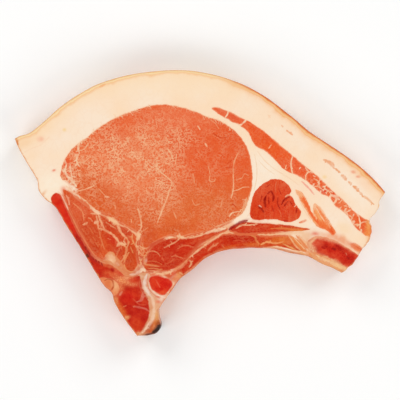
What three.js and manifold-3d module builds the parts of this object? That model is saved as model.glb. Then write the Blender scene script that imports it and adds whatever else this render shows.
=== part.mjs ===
// A raw pork loin chop with the bone in and the rind on, lying on one of its two cut faces.
// Millimetres, +Z up. X runs from the backbone to the belly end, Y from the ribs to the rind,
// and the origin is the middle of the bounding box, on the surface that the chop lies on.
// Lean, fat, bone and gristle each run right through the slice, so each is a solid as tall as it.

import * as THREE from 'three';
import Module from 'manifold-3d';
import { mergeVertices } from 'three/addons/utils/BufferGeometryUtils.js';

const wasm = await Module();
wasm.setup();

// Driving dimensions
const CHOP_LENGTH = 186;     // from the rind's corner at the backbone to its corner at the belly
const THICKNESS = 20;        // of the slice
const TISSUE_GAP = 0.3;      // between one tissue and the next
const EDGE_ROUND = 1.2;      // radius where the cut faces turn into the sides
const ROUND_STEPS = 2;       // facets in that radius
const LONG_STEP = 3.8;       // between the points of a long smooth outline
const SHORT_STEP = 2.1;      // between those of a short or ragged one
const RELIEF_STEP = 5.5;     // grid of the upper face
const SEAM_DIP = 0.35;       // how far lean meat sinks where it meets its seam
const LEAN_CROWN = 0.85;     // how far it then swells towards its middle
const CROWN_REACH = 6;       // distance from the seam over which it swells
const MARROW_DIP = 0.5;      // spongy bone lies below its hard rim
const SURFACE_ROLL = 0.35;   // slow rise and fall of the whole cut face

// The chop's outline, clockwise from the rind's corner at the backbone. Each edge is one smooth
// curve, and the corners between edges stay sharp. The outlines are scaled to CHOP_LENGTH.
const RIND_EDGE = [
  [-92.4, 32.2], [-90, 33.5], [-85, 35], [-78, 40.5], [-70, 47.7], [-60, 54.6], [-50, 59.8],
  [-35, 64.1], [-20, 66.2], [-8, 66.5], [5, 64.8], [20, 60.2], [32, 54], [45, 44.4], [55, 36],
  [70, 26], [80, 18.7], [88, 11.4], [93.3, 5.4],
];
const BELLY_CUT = [
  [93.3, 5.4], [91, 2.2], [89.4, -3.6], [85.7, -8.2], [86.4, -12], [85.8, -16.2], [84.3, -20],
  [80.4, -25], [78.4, -28.6], [75.4, -32.2], [71.6, -34.9],
];
const RIBCAGE_EDGE = [
  [71.6, -34.9], [68, -32.9], [62.5, -30.8], [55, -27], [45, -24.8], [36, -22.8], [24, -22.6],
  [12, -23.9], [4, -27.2], [-4, -33.8], [-9.4, -38], [-14.5, -44.9], [-20.3, -53.4],
];
const LOBE_EDGE = [
  [-20.3, -53.4], [-20.1, -58], [-19.2, -62], [-21.2, -65.2], [-25.5, -66.4], [-31, -66.5],
];
const SAWN_EDGE = [
  [-31, -66.5], [-36, -60], [-42.4, -49.8], [-43.6, -45.4], [-47.6, -41.4], [-52, -34.6],
  [-60, -21.4], [-67, -10.4], [-72.6, -1.4], [-77, 1.9], [-80.3, 6.2], [-81, 11], [-86.2, 20],
  [-90.4, 27.6], [-92.4, 32.2],
];

const SCALE = CHOP_LENGTH / (RIND_EDGE.at(-1)[0] - RIND_EDGE[0][0]);
const EDGES = [
  { points: RIND_EDGE, step: LONG_STEP },
  { points: BELLY_CUT, step: SHORT_STEP },
  { points: RIBCAGE_EDGE, step: LONG_STEP },
  { points: LOBE_EDGE, step: SHORT_STEP },
  { points: SAWN_EDGE, step: LONG_STEP },
];

// The tissues, each a closed smooth curve. Where one reaches the chop's side, its outline runs on
// past it and the side cuts it off. An earlier one in this list is whole, and a later one makes way.
const TISSUES = [
  {
    name: 'loin_eye', kind: 'lean', colour: 0xe2683a, step: LONG_STEP,
    outline: [
      [-69.3, 15], [-67.5, 21], [-62.5, 28], [-56.5, 32.6], [-50, 37.8], [-42, 42.5], [-33, 46],
      [-23, 48.9], [-13, 48.7], [-4, 46.4], [4, 43.2], [12, 40.2], [19, 34.9], [24, 27.8],
      [26.2, 19], [26.6, 10], [24.8, 2.2], [22.3, -4.2], [16, -9], [6, -13.2], [-4, -15.6],
      [-10, -16.8], [-14, -16.2], [-19.5, -18.3], [-24.5, -21.3], [-27.3, -26.6],
      [-29.3, -26.5], [-29.6, -21.5], [-29.2, -15.8], [-33, -13.3], [-41, -9], [-49, -4.7],
      [-56.5, 0], [-62.5, 4.3], [-65.3, 9.5], [-68.4, 11.6],
    ],
  },
  {
    name: 'cover_muscle', kind: 'lean', colour: 0xe65b2c, step: LONG_STEP,
    outline: [
      [6.4, 47.5], [9.5, 47.7], [15, 45.7], [21, 42.7], [26, 40.2], [31, 36.9], [36, 32.9],
      [41, 28.7], [46, 24.4], [52, 19.3], [58, 14.5], [63, 9.8], [68, 4.7], [73, 0.7],
      [78, -4.6], [82, -7.3], [88, -10.5], [89, -15.5], [84.4, -16.6], [81, -14.6],
      [78, -12.2], [75.5, -8], [72, -4.2], [68, -1.4], [65.6, 2.4], [61, 4.9], [56.6, 8.6],
      [52.4, 12], [48, 14.2], [44.4, 15.6], [40.4, 18.8], [36.5, 23], [32.6, 26.4],
      [28.6, 28.2], [26.5, 31.3], [25, 34.8], [21, 38.3], [17, 40.6], [12, 43.2], [8, 45.6],
    ],
  },
  {
    name: 'round_muscle', kind: 'lean', colour: 0xd9441c, step: SHORT_STEP,
    outline: [
      [25.4, -5], [26, 0], [27.6, 5], [31, 9], [35, 11.2], [38.5, 12.1], [42.4, 10.8],
      [45.3, 8], [46.1, 5.6], [45.2, 4], [46.8, 2.8], [48, 0], [49.6, -2.2], [50.9, -4.6],
      [50, -7.7], [47, -9.3], [43, -9.4], [38.6, -8.2], [33.6, -8.2], [29, -8.5], [26.2, -7.7],
    ],
  },
  {
    name: 'flank_muscle', kind: 'lean', colour: 0xef7840, step: SHORT_STEP,
    outline: [
      [48.4, 6.8], [51, 5.4], [53.5, 2.4], [55.2, -1.6], [56.4, -4.6], [57.3, -5.2],
      [56.9, -2.6], [57.4, -0.3], [59, -0.9], [61.2, -3.4], [63.8, -7], [66.4, -11.2],
      [68.2, -14.6], [67, -16.2], [63.4, -13.6], [59.6, -12], [56.4, -8.4], [53.4, -3.6],
      [50.8, 0.6],
    ],
  },
  {
    name: 'vertebra', kind: 'bone', colour: 0xc93a1c, step: LONG_STEP,
    outline: [
      [-73.8, 3.2], [-71.6, 5.2], [-69.6, 4.2], [-68, 1.2], [-65, -5.8], [-61.9, -12.4],
      [-58.2, -19.1], [-55, -24.2], [-51.7, -28.1], [-47.5, -30], [-43.5, -31.4], [-40, -34],
      [-37, -36.3], [-33.5, -37], [-30, -36.2], [-29.2, -38], [-29.6, -41.2], [-27.9, -45.2],
      [-25.7, -48.2], [-24.8, -51.5], [-25.2, -57], [-27.4, -61.8], [-30.8, -66.4],
      [-34, -70], [-47, -51], [-43.8, -47.4], [-41.2, -45.6], [-40, -42.6], [-41.2, -39.6],
      [-44.5, -38], [-48, -37.3], [-54, -39], [-62, -25], [-71, -10], [-74.6, -4.5],
      [-73.6, -0.6],
    ],
  },
  {
    name: 'spinal_cord', kind: 'soft', colour: 0xe08052, step: SHORT_STEP,
    outline: [
      [-39, -42.6], [-41.4, -47], [-45, -50], [-52, -46], [-54, -38.4], [-48, -36.6],
      [-43, -37],
    ],
  },
  {
    name: 'rib_head', kind: 'bone', colour: 0xd2311a, step: SHORT_STEP,
    outline: [
      [-24.9, -37.4], [-22.5, -36.2], [-18.5, -36.7], [-15, -38], [-13.4, -40.6],
      [-14.8, -43.6], [-17.2, -45.8], [-20.4, -45.4], [-23.2, -43.4], [-24.9, -40.6],
    ],
  },
  {
    name: 'gristle', kind: 'soft', colour: 0xe6bfa6, step: SHORT_STEP,
    outline: [
      [-29.6, -35.2], [-26.6, -34.9], [-25, -35.6], [-24, -37.5], [-23.6, -41], [-21, -44],
      [-17, -44.8], [-13, -46.6], [-15, -54], [-15, -70], [-29, -71], [-32, -67], [-29, -61],
      [-27, -56], [-27, -51], [-30, -46], [-31.5, -42], [-31.5, -38],
    ],
  },
  {
    name: 'rib_end', kind: 'bone', colour: 0xcb2d16, step: SHORT_STEP,
    outline: [
      [54.5, -19], [57.6, -16.9], [62.4, -17], [68.5, -19], [74, -22.2], [79, -25.8],
      [84, -30], [76, -38], [68, -37], [60, -32.5], [56.4, -26.4], [54.5, -22.4],
    ],
  },
  {
    name: 'back_muscle', kind: 'lean', colour: 0xd8542b, step: LONG_STEP,
    outline: [
      [-68.2, 6.6], [-65.6, 5.9], [-61.6, 2.4], [-57, -1.3], [-50, -5.8], [-42, -10.2],
      [-35.5, -13.6], [-31.6, -15.6], [-31.1, -20], [-31, -27], [-31.2, -31.5],
      [-33.4, -34.6], [-36.2, -34], [-38.2, -31.2], [-39.8, -28.6], [-42, -26.6],
      [-44, -24.6], [-46.2, -25.8], [-48.4, -28], [-51, -26.8], [-54, -23.2], [-57, -18.4],
      [-60.5, -11.8], [-63.6, -5.2], [-66.6, 1.6],
    ],
  },
  {
    name: 'inner_muscle', kind: 'lean', colour: 0xcf4622, step: SHORT_STEP,
    outline: [
      [-26.3, -29.8], [-25.6, -25.6], [-23.6, -22.3], [-19.5, -19.7], [-15, -18], [-10, -18.1],
      [-4, -17.2], [3, -15.6], [9, -13.9], [13.6, -12.9], [9.5, -15.3], [4.5, -17.8],
      [0, -20.3], [-3.5, -23.8], [-6.5, -27.6], [-10, -30.8], [-13, -32.9], [-17.5, -33.9],
      [-22.5, -33.6], [-26.5, -33.4], [-27.6, -31.6],
    ],
  },
  {
    name: 'rib_muscle_upper', kind: 'lean', colour: 0xd5481f, step: SHORT_STEP,
    outline: [
      [15.4, -13.3], [18.5, -11], [22.5, -9.6], [28, -10], [36, -10.4], [43, -11], [50, -12],
      [55.5, -13.2], [51, -14], [44, -14.3], [35, -14.7], [27, -15], [20, -14.9],
    ],
  },
  {
    name: 'rib_muscle_lower', kind: 'lean', colour: 0xd4511f, step: SHORT_STEP,
    outline: [
      [-11.5, -34.6], [-8.5, -32.5], [-5, -28.4], [-2.2, -24.9], [1.2, -21.8], [5.6, -19.2],
      [10.5, -16.7], [14.3, -15.9], [20, -16.2], [28, -16.4], [36, -17], [43, -16.6],
      [47.5, -17.2], [50.5, -19.8], [53.6, -24.2], [50, -24], [44, -22.6], [38, -21.6],
      [31, -22.8], [24, -26], [10, -28], [0, -34], [-8, -40], [-10.6, -37],
    ],
  },
];

// Points at an even step along a smooth curve through the given ones, a closed one's end not repeated.
function smoothPoints(points, step, closed) {
  const controls = points.map(([x, y]) => new THREE.Vector3(x * SCALE, y * SCALE, 0));
  const curve = new THREE.CatmullRomCurve3(controls, closed, 'centripetal');
  const count = Math.round(curve.getLength() / step);
  return curve.getSpacedPoints(count).slice(0, count).map((p) => new THREE.Vector2(p.x, p.y));
}

// The same loop, turned so that it runs anticlockwise.
const anticlockwise = (loop) => (THREE.ShapeUtils.area(loop) < 0 ? loop.reverse() : loop);

// The loop moved outwards by a distance, or inwards by a negative one, along its corners' normals.
function offsetLoop(loop, distance) {
  const sharpest = 2; // a corner's point moves at most this many times the distance
  return loop.map((point, i) => {
    const before = loop[(i + loop.length - 1) % loop.length];
    const after = loop[(i + 1) % loop.length];
    const a = point.clone().sub(before).normalize();
    const b = after.clone().sub(point).normalize();
    const normal = new THREE.Vector2(a.y + b.y, -a.x - b.x).normalize();
    const stretch = Math.min(sharpest, 1 / Math.max(normal.x * a.y - normal.y * a.x, 1e-6));
    return point.clone().addScaledVector(normal, distance * stretch);
  });
}

// A closed solid through a stack of loops of equal length. Each loop's points are Vector3.
function solidThrough(rings) {
  const count = rings[0].length;
  const corners = rings.flat();
  const faces = [];
  for (let level = 0; level + 1 < rings.length; level++) {
    for (let i = 0; i < count; i++) {
      const a = level * count + i;
      const b = level * count + ((i + 1) % count);
      faces.push([a, b, b + count], [a, b + count, a + count]);
    }
  }
  const lid = (ring) => THREE.ShapeUtils.triangulateShape(ring.map((p) => new THREE.Vector2(p.x, p.y)), []);
  const top = corners.length - count;
  faces.push(...lid(rings[0]).map(([a, b, c]) => [a, c, b]));
  faces.push(...lid(rings.at(-1)).map(([a, b, c]) => [a + top, b + top, c + top]));
  return solidOf(corners, faces);
}

function solidOf(corners, faces) {
  return new wasm.Manifold(new wasm.Mesh({
    numProp: 3,
    vertProperties: new Float32Array(corners.flatMap((p) => [p.x, p.y, p.z])),
    triVerts: new Uint32Array(faces.flat()),
  }));
}

// The chop's outline, and each tissue's.
const chopOutline = anticlockwise(
  EDGES.flatMap(({ points, step }) => smoothPoints(points, step, false)),
);
for (const tissue of TISSUES) {
  tissue.loop = anticlockwise(smoothPoints(tissue.outline, tissue.step, true));
}

function distanceToLoop(point, loop) {
  let nearest = Infinity;
  loop.forEach((a, i) => {
    const along = loop[(i + 1) % loop.length].clone().sub(a);
    const share = THREE.MathUtils.clamp(point.clone().sub(a).dot(along) / along.lengthSq(), 0, 1);
    nearest = Math.min(nearest, point.distanceTo(a.clone().addScaledVector(along, share)));
  });
  return nearest;
}

function isInside(point, loop) {
  let inside = false;
  loop.forEach((a, i) => {
    const b = loop[(i + 1) % loop.length];
    const crosses = (a.y > point.y) !== (b.y > point.y);
    if (crosses && point.x < a.x + ((b.x - a.x) * (point.y - a.y)) / (b.y - a.y)) inside = !inside;
  });
  return inside;
}

// Height of the upper cut face above the slice's own thickness: the whole face rolls slowly, lean
// swells between its seams, marrow lies low, and the gristle's free lobe falls away at its tip.
const LOBE_TIP = new THREE.Vector2(-19, -64);
const LOBE_FALL = 5;
const LOBE_REACH = 5.5;
function relief(x, y) {
  const point = new THREE.Vector2(x, y);
  let height = SURFACE_ROLL * Math.sin(x / 19 + 0.8) * Math.cos(y / 15 - 0.4);
  const tissue = TISSUES.find(({ loop }) => isInside(point, loop));
  if (tissue && tissue.kind !== 'soft') {
    const swell = 1 - Math.exp(-distanceToLoop(point, tissue.loop) / CROWN_REACH);
    height += tissue.kind === 'lean' ? LEAN_CROWN * swell - SEAM_DIP : -MARROW_DIP * swell;
  }
  return height - LOBE_FALL * Math.exp(-((point.distanceTo(LOBE_TIP) / LOBE_REACH) ** 2));
}

// The whole slice before it is parted: rounded edges, upright sides, and a top that stands above
// the relief, which the relief block then cuts to shape.
function roughSlice() {
  const clearance = 3;
  const levels = [];
  for (let step = 0; step <= ROUND_STEPS; step++) {
    const angle = (Math.PI / 2) * (step / ROUND_STEPS);
    levels.push({ inset: EDGE_ROUND * (1 - Math.sin(angle)), height: EDGE_ROUND * (1 - Math.cos(angle)) });
  }
  const ring = ({ inset }, heightAt) => offsetLoop(chopOutline, -inset)
    .map((p) => new THREE.Vector3(p.x, p.y, heightAt(p)));
  const lower = levels.map((level) => ring(level, () => level.height));
  const upper = levels.toReversed()
    .map((level) => ring(level, (p) => THICKNESS + relief(p.x, p.y) - level.height));
  const lid = ring(levels[0], () => THICKNESS + clearance);
  return solidThrough([...lower, ...upper, lid]);
}

// Everything below the relief of the upper cut face, on a grid wider than the chop.
function reliefBlock() {
  const box = new THREE.Box2().setFromPoints(chopOutline).expandByScalar(RELIEF_STEP);
  const size = box.getSize(new THREE.Vector2());
  const across = Math.ceil(size.x / RELIEF_STEP);
  const along = Math.ceil(size.y / RELIEF_STEP);
  const corners = [];
  for (const upper of [false, true]) {
    for (let j = 0; j <= along; j++) {
      for (let i = 0; i <= across; i++) {
        const x = box.min.x + (size.x * i) / across;
        const y = box.min.y + (size.y * j) / along;
        corners.push(new THREE.Vector3(x, y, upper ? THICKNESS + relief(x, y) : -THICKNESS));
      }
    }
  }
  const at = (i, j, upper) => (upper ? (across + 1) * (along + 1) : 0) + j * (across + 1) + i;
  const faces = [];
  const quad = (a, b, c, d) => faces.push([a, b, c], [a, c, d]);
  for (let j = 0; j < along; j++) {
    for (let i = 0; i < across; i++) {
      quad(at(i, j, true), at(i + 1, j, true), at(i + 1, j + 1, true), at(i, j + 1, true));
      quad(at(i, j, false), at(i, j + 1, false), at(i + 1, j + 1, false), at(i + 1, j, false));
    }
  }
  for (let i = 0; i < across; i++) {
    quad(at(i, 0, false), at(i + 1, 0, false), at(i + 1, 0, true), at(i, 0, true));
    quad(at(i + 1, along, false), at(i, along, false), at(i, along, true), at(i + 1, along, true));
  }
  for (let j = 0; j < along; j++) {
    quad(at(0, j + 1, false), at(0, j, false), at(0, j, true), at(0, j + 1, true));
    quad(at(across, j, false), at(across, j + 1, false), at(across, j + 1, true), at(across, j, true));
  }
  return solidOf(corners, faces);
}

// A tissue's outline as an upright prism that runs past both cut faces, widened by a distance.
function prism(loop, widening) {
  const past = 8;
  const at = (height) => offsetLoop(loop, widening).map((p) => new THREE.Vector3(p.x, p.y, height));
  return solidThrough([at(-past), at(THICKNESS + past)]);
}

// A three.js mesh of a solid, moved so that the chop's bounding box is centred on the origin.
function meshOf(solid, name, colour, roughness, centre) {
  const { numProp, vertProperties, triVerts } = solid.getMesh();
  const places = new Float32Array(triVerts.length * 3);
  triVerts.forEach((vertex, i) => {
    places.set(vertProperties.subarray(vertex * numProp, vertex * numProp + 3), i * 3);
  });
  const geometry = new THREE.BufferGeometry();
  geometry.setAttribute('position', new THREE.BufferAttribute(places, 3));
  geometry.translate(-centre.x, -centre.y, 0);
  const whole = mergeVertices(geometry, 1e-3);
  whole.computeVertexNormals();
  const material = new THREE.MeshStandardMaterial({ color: colour, roughness, metalness: 0 });
  const mesh = new THREE.Mesh(whole, material);
  mesh.name = name;
  return mesh;
}

const slice = roughSlice().intersect(reliefBlock());
const centre = new THREE.Box2().setFromPoints(chopOutline).getCenter(new THREE.Vector2());
const ROUGHNESS = { lean: 0.45, bone: 0.6, soft: 0.4 };

const chop = new THREE.Group();
let left = slice;
for (const { name, kind, colour, loop } of TISSUES) {
  chop.add(meshOf(left.intersect(prism(loop, 0)), name, colour, ROUGHNESS[kind], centre));
  left = left.subtract(prism(loop, TISSUE_GAP));
}
chop.add(meshOf(left, 'fat_and_rind', 0xf7dfc2, 0.5, centre));

export default chop;
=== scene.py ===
"""A raw pork loin chop with its bones and rind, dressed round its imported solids."""

import math

import bpy
import numpy as np
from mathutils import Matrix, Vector, noise
from mathutils.geometry import delaunay_2d_cdt
from mathutils.kdtree import KDTree


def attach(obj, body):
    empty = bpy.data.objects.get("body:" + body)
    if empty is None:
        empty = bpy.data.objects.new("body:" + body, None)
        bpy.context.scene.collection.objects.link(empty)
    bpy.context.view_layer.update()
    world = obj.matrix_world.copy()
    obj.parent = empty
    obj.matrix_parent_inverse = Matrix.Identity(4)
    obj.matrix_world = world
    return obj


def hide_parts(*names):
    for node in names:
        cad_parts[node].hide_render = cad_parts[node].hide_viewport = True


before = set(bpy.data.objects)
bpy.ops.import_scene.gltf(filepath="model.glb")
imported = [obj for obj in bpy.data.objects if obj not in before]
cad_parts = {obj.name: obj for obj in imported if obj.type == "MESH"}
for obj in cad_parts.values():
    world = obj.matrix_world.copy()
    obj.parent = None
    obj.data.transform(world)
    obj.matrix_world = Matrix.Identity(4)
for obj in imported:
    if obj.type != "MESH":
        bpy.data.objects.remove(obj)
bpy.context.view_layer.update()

# The slice
# One slice across a pig's loin, 20 mm thick, knifed through the soft parts and sawn through
# the backbone, lying on its other cut face. All its tissues end together at this outline.
# Its edges are drawn in mm at the photograph's scale, and DRAWN_TO_MM brings them to size.
CHOP_LENGTH = 186.0
THICKNESS = 20.0
EDGE_ROUND = 1.2
EDGE_ROWS = (0.26, 0.55, 0.9, 1.3)
BORDER_STEP = 0.42
CURVE_PARTS = 16
RIND_EDGE = [
    (-92.4, 32.2), (-90, 33.5), (-85, 35), (-78, 40.5), (-70, 47.7), (-60, 54.6), (-50, 59.8),
    (-35, 64.1), (-20, 66.2), (-8, 66.5), (5, 64.8), (20, 60.2), (32, 54), (45, 44.4), (55, 36),
    (70, 26), (80, 18.7), (88, 11.4), (93.3, 5.4),
]
BELLY_CUT = [
    (93.3, 5.4), (91, 2.2), (89.4, -3.6), (85.7, -8.2), (86.4, -12), (85.8, -16.2), (84.3, -20),
    (80.4, -25), (78.4, -28.6), (75.4, -32.2), (71.6, -34.9),
]
RIBCAGE_EDGE = [
    (71.6, -34.9), (68, -32.9), (62.5, -30.8), (55, -27), (45, -24.8), (36, -22.8), (24, -22.6),
    (12, -23.9), (4, -27.2), (-4, -33.8), (-9.4, -38), (-14.5, -44.9), (-20.3, -53.4),
]
LOBE_EDGE = [
    (-20.3, -53.4), (-20.1, -58), (-19.2, -62), (-21.2, -65.2), (-25.5, -66.4), (-31, -66.5),
]
SAWN_EDGE = [
    (-31, -66.5), (-36, -60), (-42.4, -49.8), (-43.6, -45.4), (-47.6, -41.4), (-52, -34.6),
    (-60, -21.4), (-67, -10.4), (-72.6, -1.4), (-77, 1.9), (-80.3, 6.2), (-81, 11), (-86.2, 20),
    (-90.4, 27.6), (-92.4, 32.2),
]
LOBE_TIP = np.array([-19.0, -64.0])
LOBE_DROP = 5.0
LOBE_REACH = 5.5
DRAWN_TO_MM = CHOP_LENGTH / (RIND_EDGE[-1][0] - RIND_EDGE[0][0])
SEED = 7
rng = np.random.default_rng(SEED)
# Until this, noise_vector takes its offsets from the clock, and no two runs have the same waves.
noise.seed_set(SEED)


def smooth_line(points, step, closed=False):
    """Evenly spaced points on the centripetal Catmull-Rom curve through the given ones."""
    p = np.array(points, float) * DRAWN_TO_MM
    p = np.vstack([p[-1:], p, p[:2]] if closed else [2 * p[:1] - p[1:2], p, 2 * p[-1:] - p[-2:-1]])
    t = np.linspace(0, 1, CURVE_PARTS, endpoint=False)[:, None]
    parts = []
    for a, b, c, d in zip(p, p[1:], p[2:], p[3:]):
        ab, bc, cd = (math.dist(u, v) ** 0.5 for u, v in ((a, b), (b, c), (c, d)))
        start = ((b - a) / ab - (c - a) / (ab + bc) + (c - b) / bc) * bc
        end = ((c - b) / bc - (d - b) / (bc + cd) + (d - c) / cd) * bc
        parts.append(
            b * (2 * t**3 - 3 * t**2 + 1) + c * (3 * t**2 - 2 * t**3)
            + start * (t**3 - 2 * t**2 + t) + end * (t**3 - t**2)
        )
    line = np.vstack([*parts, p[-2:-1]])
    along = np.concatenate([[0], np.cumsum(np.linalg.norm(np.diff(line, axis=0), axis=1))])
    places = np.linspace(0, along[-1], max(2, round(along[-1] / step) + 1))
    even = np.stack([np.interp(places, along, line[:, k]) for k in (0, 1)], 1)
    return even[:-1] if closed else even


def ragged(line, size, grain):
    """The line with a fine unevenness of about that size and grain."""
    wander = [noise.noise_vector(Vector((x / grain, y / grain, 5.5))) for x, y in line]
    return line + size * np.array(wander)[:, :2]


def inside(points, loop):
    """Which of the points lie inside the closed loop."""
    found = np.zeros(len(points), bool)
    near = np.flatnonzero(((points > loop.min(0)) & (points < loop.max(0))).all(1))
    x, y = points[near].T
    hit = np.zeros(len(near), bool)
    for (ax, ay), (bx, by) in zip(loop, np.roll(loop, -1, 0)):
        if ay != by:
            hit ^= ((ay > y) != (by > y)) & (x < ax + (bx - ax) * (y - ay) / (by - ay))
    found[near] = hit
    return found


def tree_of(points):
    """A search tree of the points."""
    tree = KDTree(len(points))
    for i, (x, y) in enumerate(points):
        tree.insert((x, y, 0), i)
    tree.balance()
    return tree


def distance(points, tree):
    """How far each point is from the nearest one in the tree."""
    return np.array([tree.find((x, y, 0))[2] for x, y in points.tolist()])


def slid(point, shift):
    """The point of the chop's side, slid that far along the outline."""
    i = outline_tree.find((*point, 0))[1]
    place = (outline_along[i] + shift) % outline_along[-1]
    moved = [np.interp(place, outline_along, line) for line in outline_closed]
    return point - chop_outline[i] + moved


def rounding(rim):
    """How far the rounded edge falls at that distance from the side."""
    short = np.clip(EDGE_ROUND - rim, 0, EDGE_ROUND)
    return EDGE_ROUND - np.sqrt(EDGE_ROUND**2 - short**2)


edge_lines = [
    ragged(smooth_line(edge, BORDER_STEP), size, grain)
    for edge, size, grain in (
        (RIND_EDGE, 0.12, 9), (BELLY_CUT, 0.5, 2.4), (RIBCAGE_EDGE, 0.25, 5), (LOBE_EDGE, 0.2, 3),
        (SAWN_EDGE, 0.15, 3),
    )
]
chop_outline = np.vstack([line[:-1] for line in edge_lines])[::-1]
chop_middle = (chop_outline.min(0) + chop_outline.max(0)) / 2
rim_tree = tree_of(np.vstack([chop_outline, (chop_outline + np.roll(chop_outline, -1, 0)) / 2]))
rind_tree, cage_tree = tree_of(edge_lines[0]), tree_of(edge_lines[2])
rind_ends = tree_of(edge_lines[0][[0, -1]])
outline_tree = tree_of(chop_outline)
outline_closed = np.vstack([chop_outline, chop_outline[:1]]).T
outline_along = np.cumsum(np.hypot(*np.diff(outline_closed, prepend=outline_closed[:, :1])))
ahead = np.roll(chop_outline, -1, 0) - np.roll(chop_outline, 1, 0)
inward = np.stack([-ahead[:, 1], ahead[:, 0]], 1) / np.linalg.norm(ahead, axis=1)[:, None]
edge_rows = np.vstack([chop_outline + inward * depth for depth in EDGE_ROWS])

# The loin eye
# The long back muscle, cut square across its fibres: moist orange-red lean with a worm-like
# pale marbling over its left half and a few fat veins. Only fat and thin skins hold it.
LOIN_EYE = [
    (-69.3, 15), (-67.5, 21), (-62.5, 28), (-56.5, 32.6), (-50, 37.8), (-42, 42.5), (-33, 46),
    (-23, 48.9), (-13, 48.7), (-4, 46.4), (4, 43.2), (12, 40.2), (19, 34.9), (24, 27.8), (26.2, 19),
    (26.6, 10), (24.8, 2.2), (22.3, -4.2), (16, -9), (6, -13.2), (-4, -15.6), (-10, -16.8),
    (-14, -16.2), (-19.5, -18.3), (-24.5, -21.3), (-27.3, -26.6), (-29.3, -26.5), (-29.6, -21.5),
    (-29.2, -15.8), (-33, -13.3), (-41, -9), (-49, -4.7), (-56.5, 0), (-62.5, 4.3), (-65.3, 9.5),
    (-68.4, 11.6),
]
# A stroke is (points, width in mm, colour). The eye has its fat veins, coarser ones at its two
# ends, the seams that it shares with the muscles round it, red gaps where two muscles meet with
# hardly any fat between, and borders that fray into threads of fat.
VEIN = "#f2b588"
THREAD = "#eea072"
EYE_VEINS = [
    ([(-21.5, 20), (-20.5, 16.5), (-18, 14.5), (-15, 12), (-13.5, 10.5)], 0.6, VEIN),
    ([(-13.5, 10.5), (-14.5, 7), (-15.5, 4), (-17, 0), (-19, -5), (-20.8, -9.5)], 0.8, VEIN),
    ([(-13.3, 9.5), (-12, 7.5), (-11.2, 6.2)], 0.5, THREAD),
    ([(-16, 27.5), (-14, 24.5), (-12.8, 21)], 0.7, VEIN),
    ([(-11.2, 24.5), (-11.6, 21.5), (-11.7, 19.5)], 0.5, VEIN),
    ([(20, 25.8), (18.3, 22.5), (17.2, 19), (17, 14)], 0.5, THREAD),
    ([(17, 14), (17.2, 9), (16.8, 5.5), (16, 2.5)], 0.7, VEIN),
    ([(17.2, 6), (19.5, 6.6), (22, 7.8), (25, 8)], 0.45, VEIN),
    ([(4.5, 18.5), (5.5, 14.5), (5.3, 11.2), (7.6, 10.8), (8, 12.3)], 0.5, THREAD),
    ([(-3, 14.5), (-2.5, 12), (-2.4, 10)], 0.4, THREAD),
    ([(-3.5, 1.5), (-2, -1), (0, -0.6)], 0.4, THREAD),
    ([(8, -1), (10.5, -2), (11.5, 1.5)], 0.4, THREAD),
    ([(-12.6, -4.8), (-11.4, -7.6)], 0.5, THREAD),
    ([(15, -6.8), (16.5, -5), (19.8, -4.2)], 0.6, "#f5c79c"),
    ([(-62.5, 5.5), (-58, 6.6), (-55, 7.6), (-52.5, 8.8)], 0.6, VEIN),
    ([(-50, 7), (-47.5, 4.2), (-46, 3)], 0.4, THREAD), ([(-47, 3.2), (-45.3, 3)], 0.8, "#f4c298"),
    ([(-42.2, -1), (-41.8, -3)], 0.5, THREAD), ([(-34, -8.2), (-33.8, -9.6)], 0.5, THREAD),
    ([(6, 41.5), (8, 39.9), (9.8, 37.2)], 0.4, THREAD), ([(3, 29.8), (4, 28.2)], 0.8, "#f3ba90"),
    ([(-0.6, 38.4), (0.4, 36.8)], 0.6, "#f3ba90"),
    ([(7, 34.8), (11, 32.6), (14.5, 33)], 0.5, "#d2461a"),
    ([(13.2, 17.6), (17, 18)], 0.6, "#d23f14"), ([(14, 19.6), (16.4, 21.4)], 0.5, "#d4481c"),
    ([(16.6, -0.4), (18.2, -1.8)], 0.6, "#d04014"), ([(-14, 21.6), (-8, 22.6)], 0.5, "#dd5a2a"),
    ([(21.4, 12.4), (22.8, 14.6), (24.6, 13.8)], 0.35, THREAD),
    ([(19, 11.6), (21.6, 12.6)], 0.35, THREAD),
]
END_VEINS = [
    ([(23.6, 2.6), (22.8, -1.4)], 0.7, "#f0b488"), ([(22.4, 0.6), (21.6, -4.2)], 0.5, "#eea878"),
    ([(21, -3.4), (18.8, -6.4)], 0.6, "#efb080"),
    ([(-57.5, 32.5), (-59.6, 30.4), (-60.6, 27.6), (-59.8, 25)], 0.8, "#f3c49c"),
    ([(-59.8, 25), (-61.2, 22.4), (-61, 20), (-59.6, 18)], 0.9, "#f3c49c"),
    ([(-61, 20.6), (-58, 20.2), (-55, 22.6)], 0.5, VEIN),
    ([(-60.8, 26), (-57.5, 27), (-55.5, 30)], 0.5, VEIN),
    ([(-67.6, 17), (-66, 13.5), (-63, 10.5), (-61.4, 8.4)], 1.3, "#f5d0ac"),
    ([(-64.5, 19.5), (-64, 15.5), (-63.4, 12)], 0.7, "#f4c8a2"),
    ([(-68, 15), (-66.4, 19), (-67, 21.4)], 0.7, "#f4c8a2"),
    ([(-67.6, 10.8), (-64.8, 8.6), (-61.6, 6.4)], 2.2, "#f7dcc0"),
    ([(-63, 28.6), (-61, 30.4), (-57, 33)], 0.5, "#f4c8a2"),
    ([(-55, 34.4), (-51, 37.4), (-47.4, 40)], 0.5, "#f4c8a2"),
    ([(-44, 42), (-38, 44.4), (-33, 46.4)], 0.5, "#f1b78e"),
]
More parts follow.
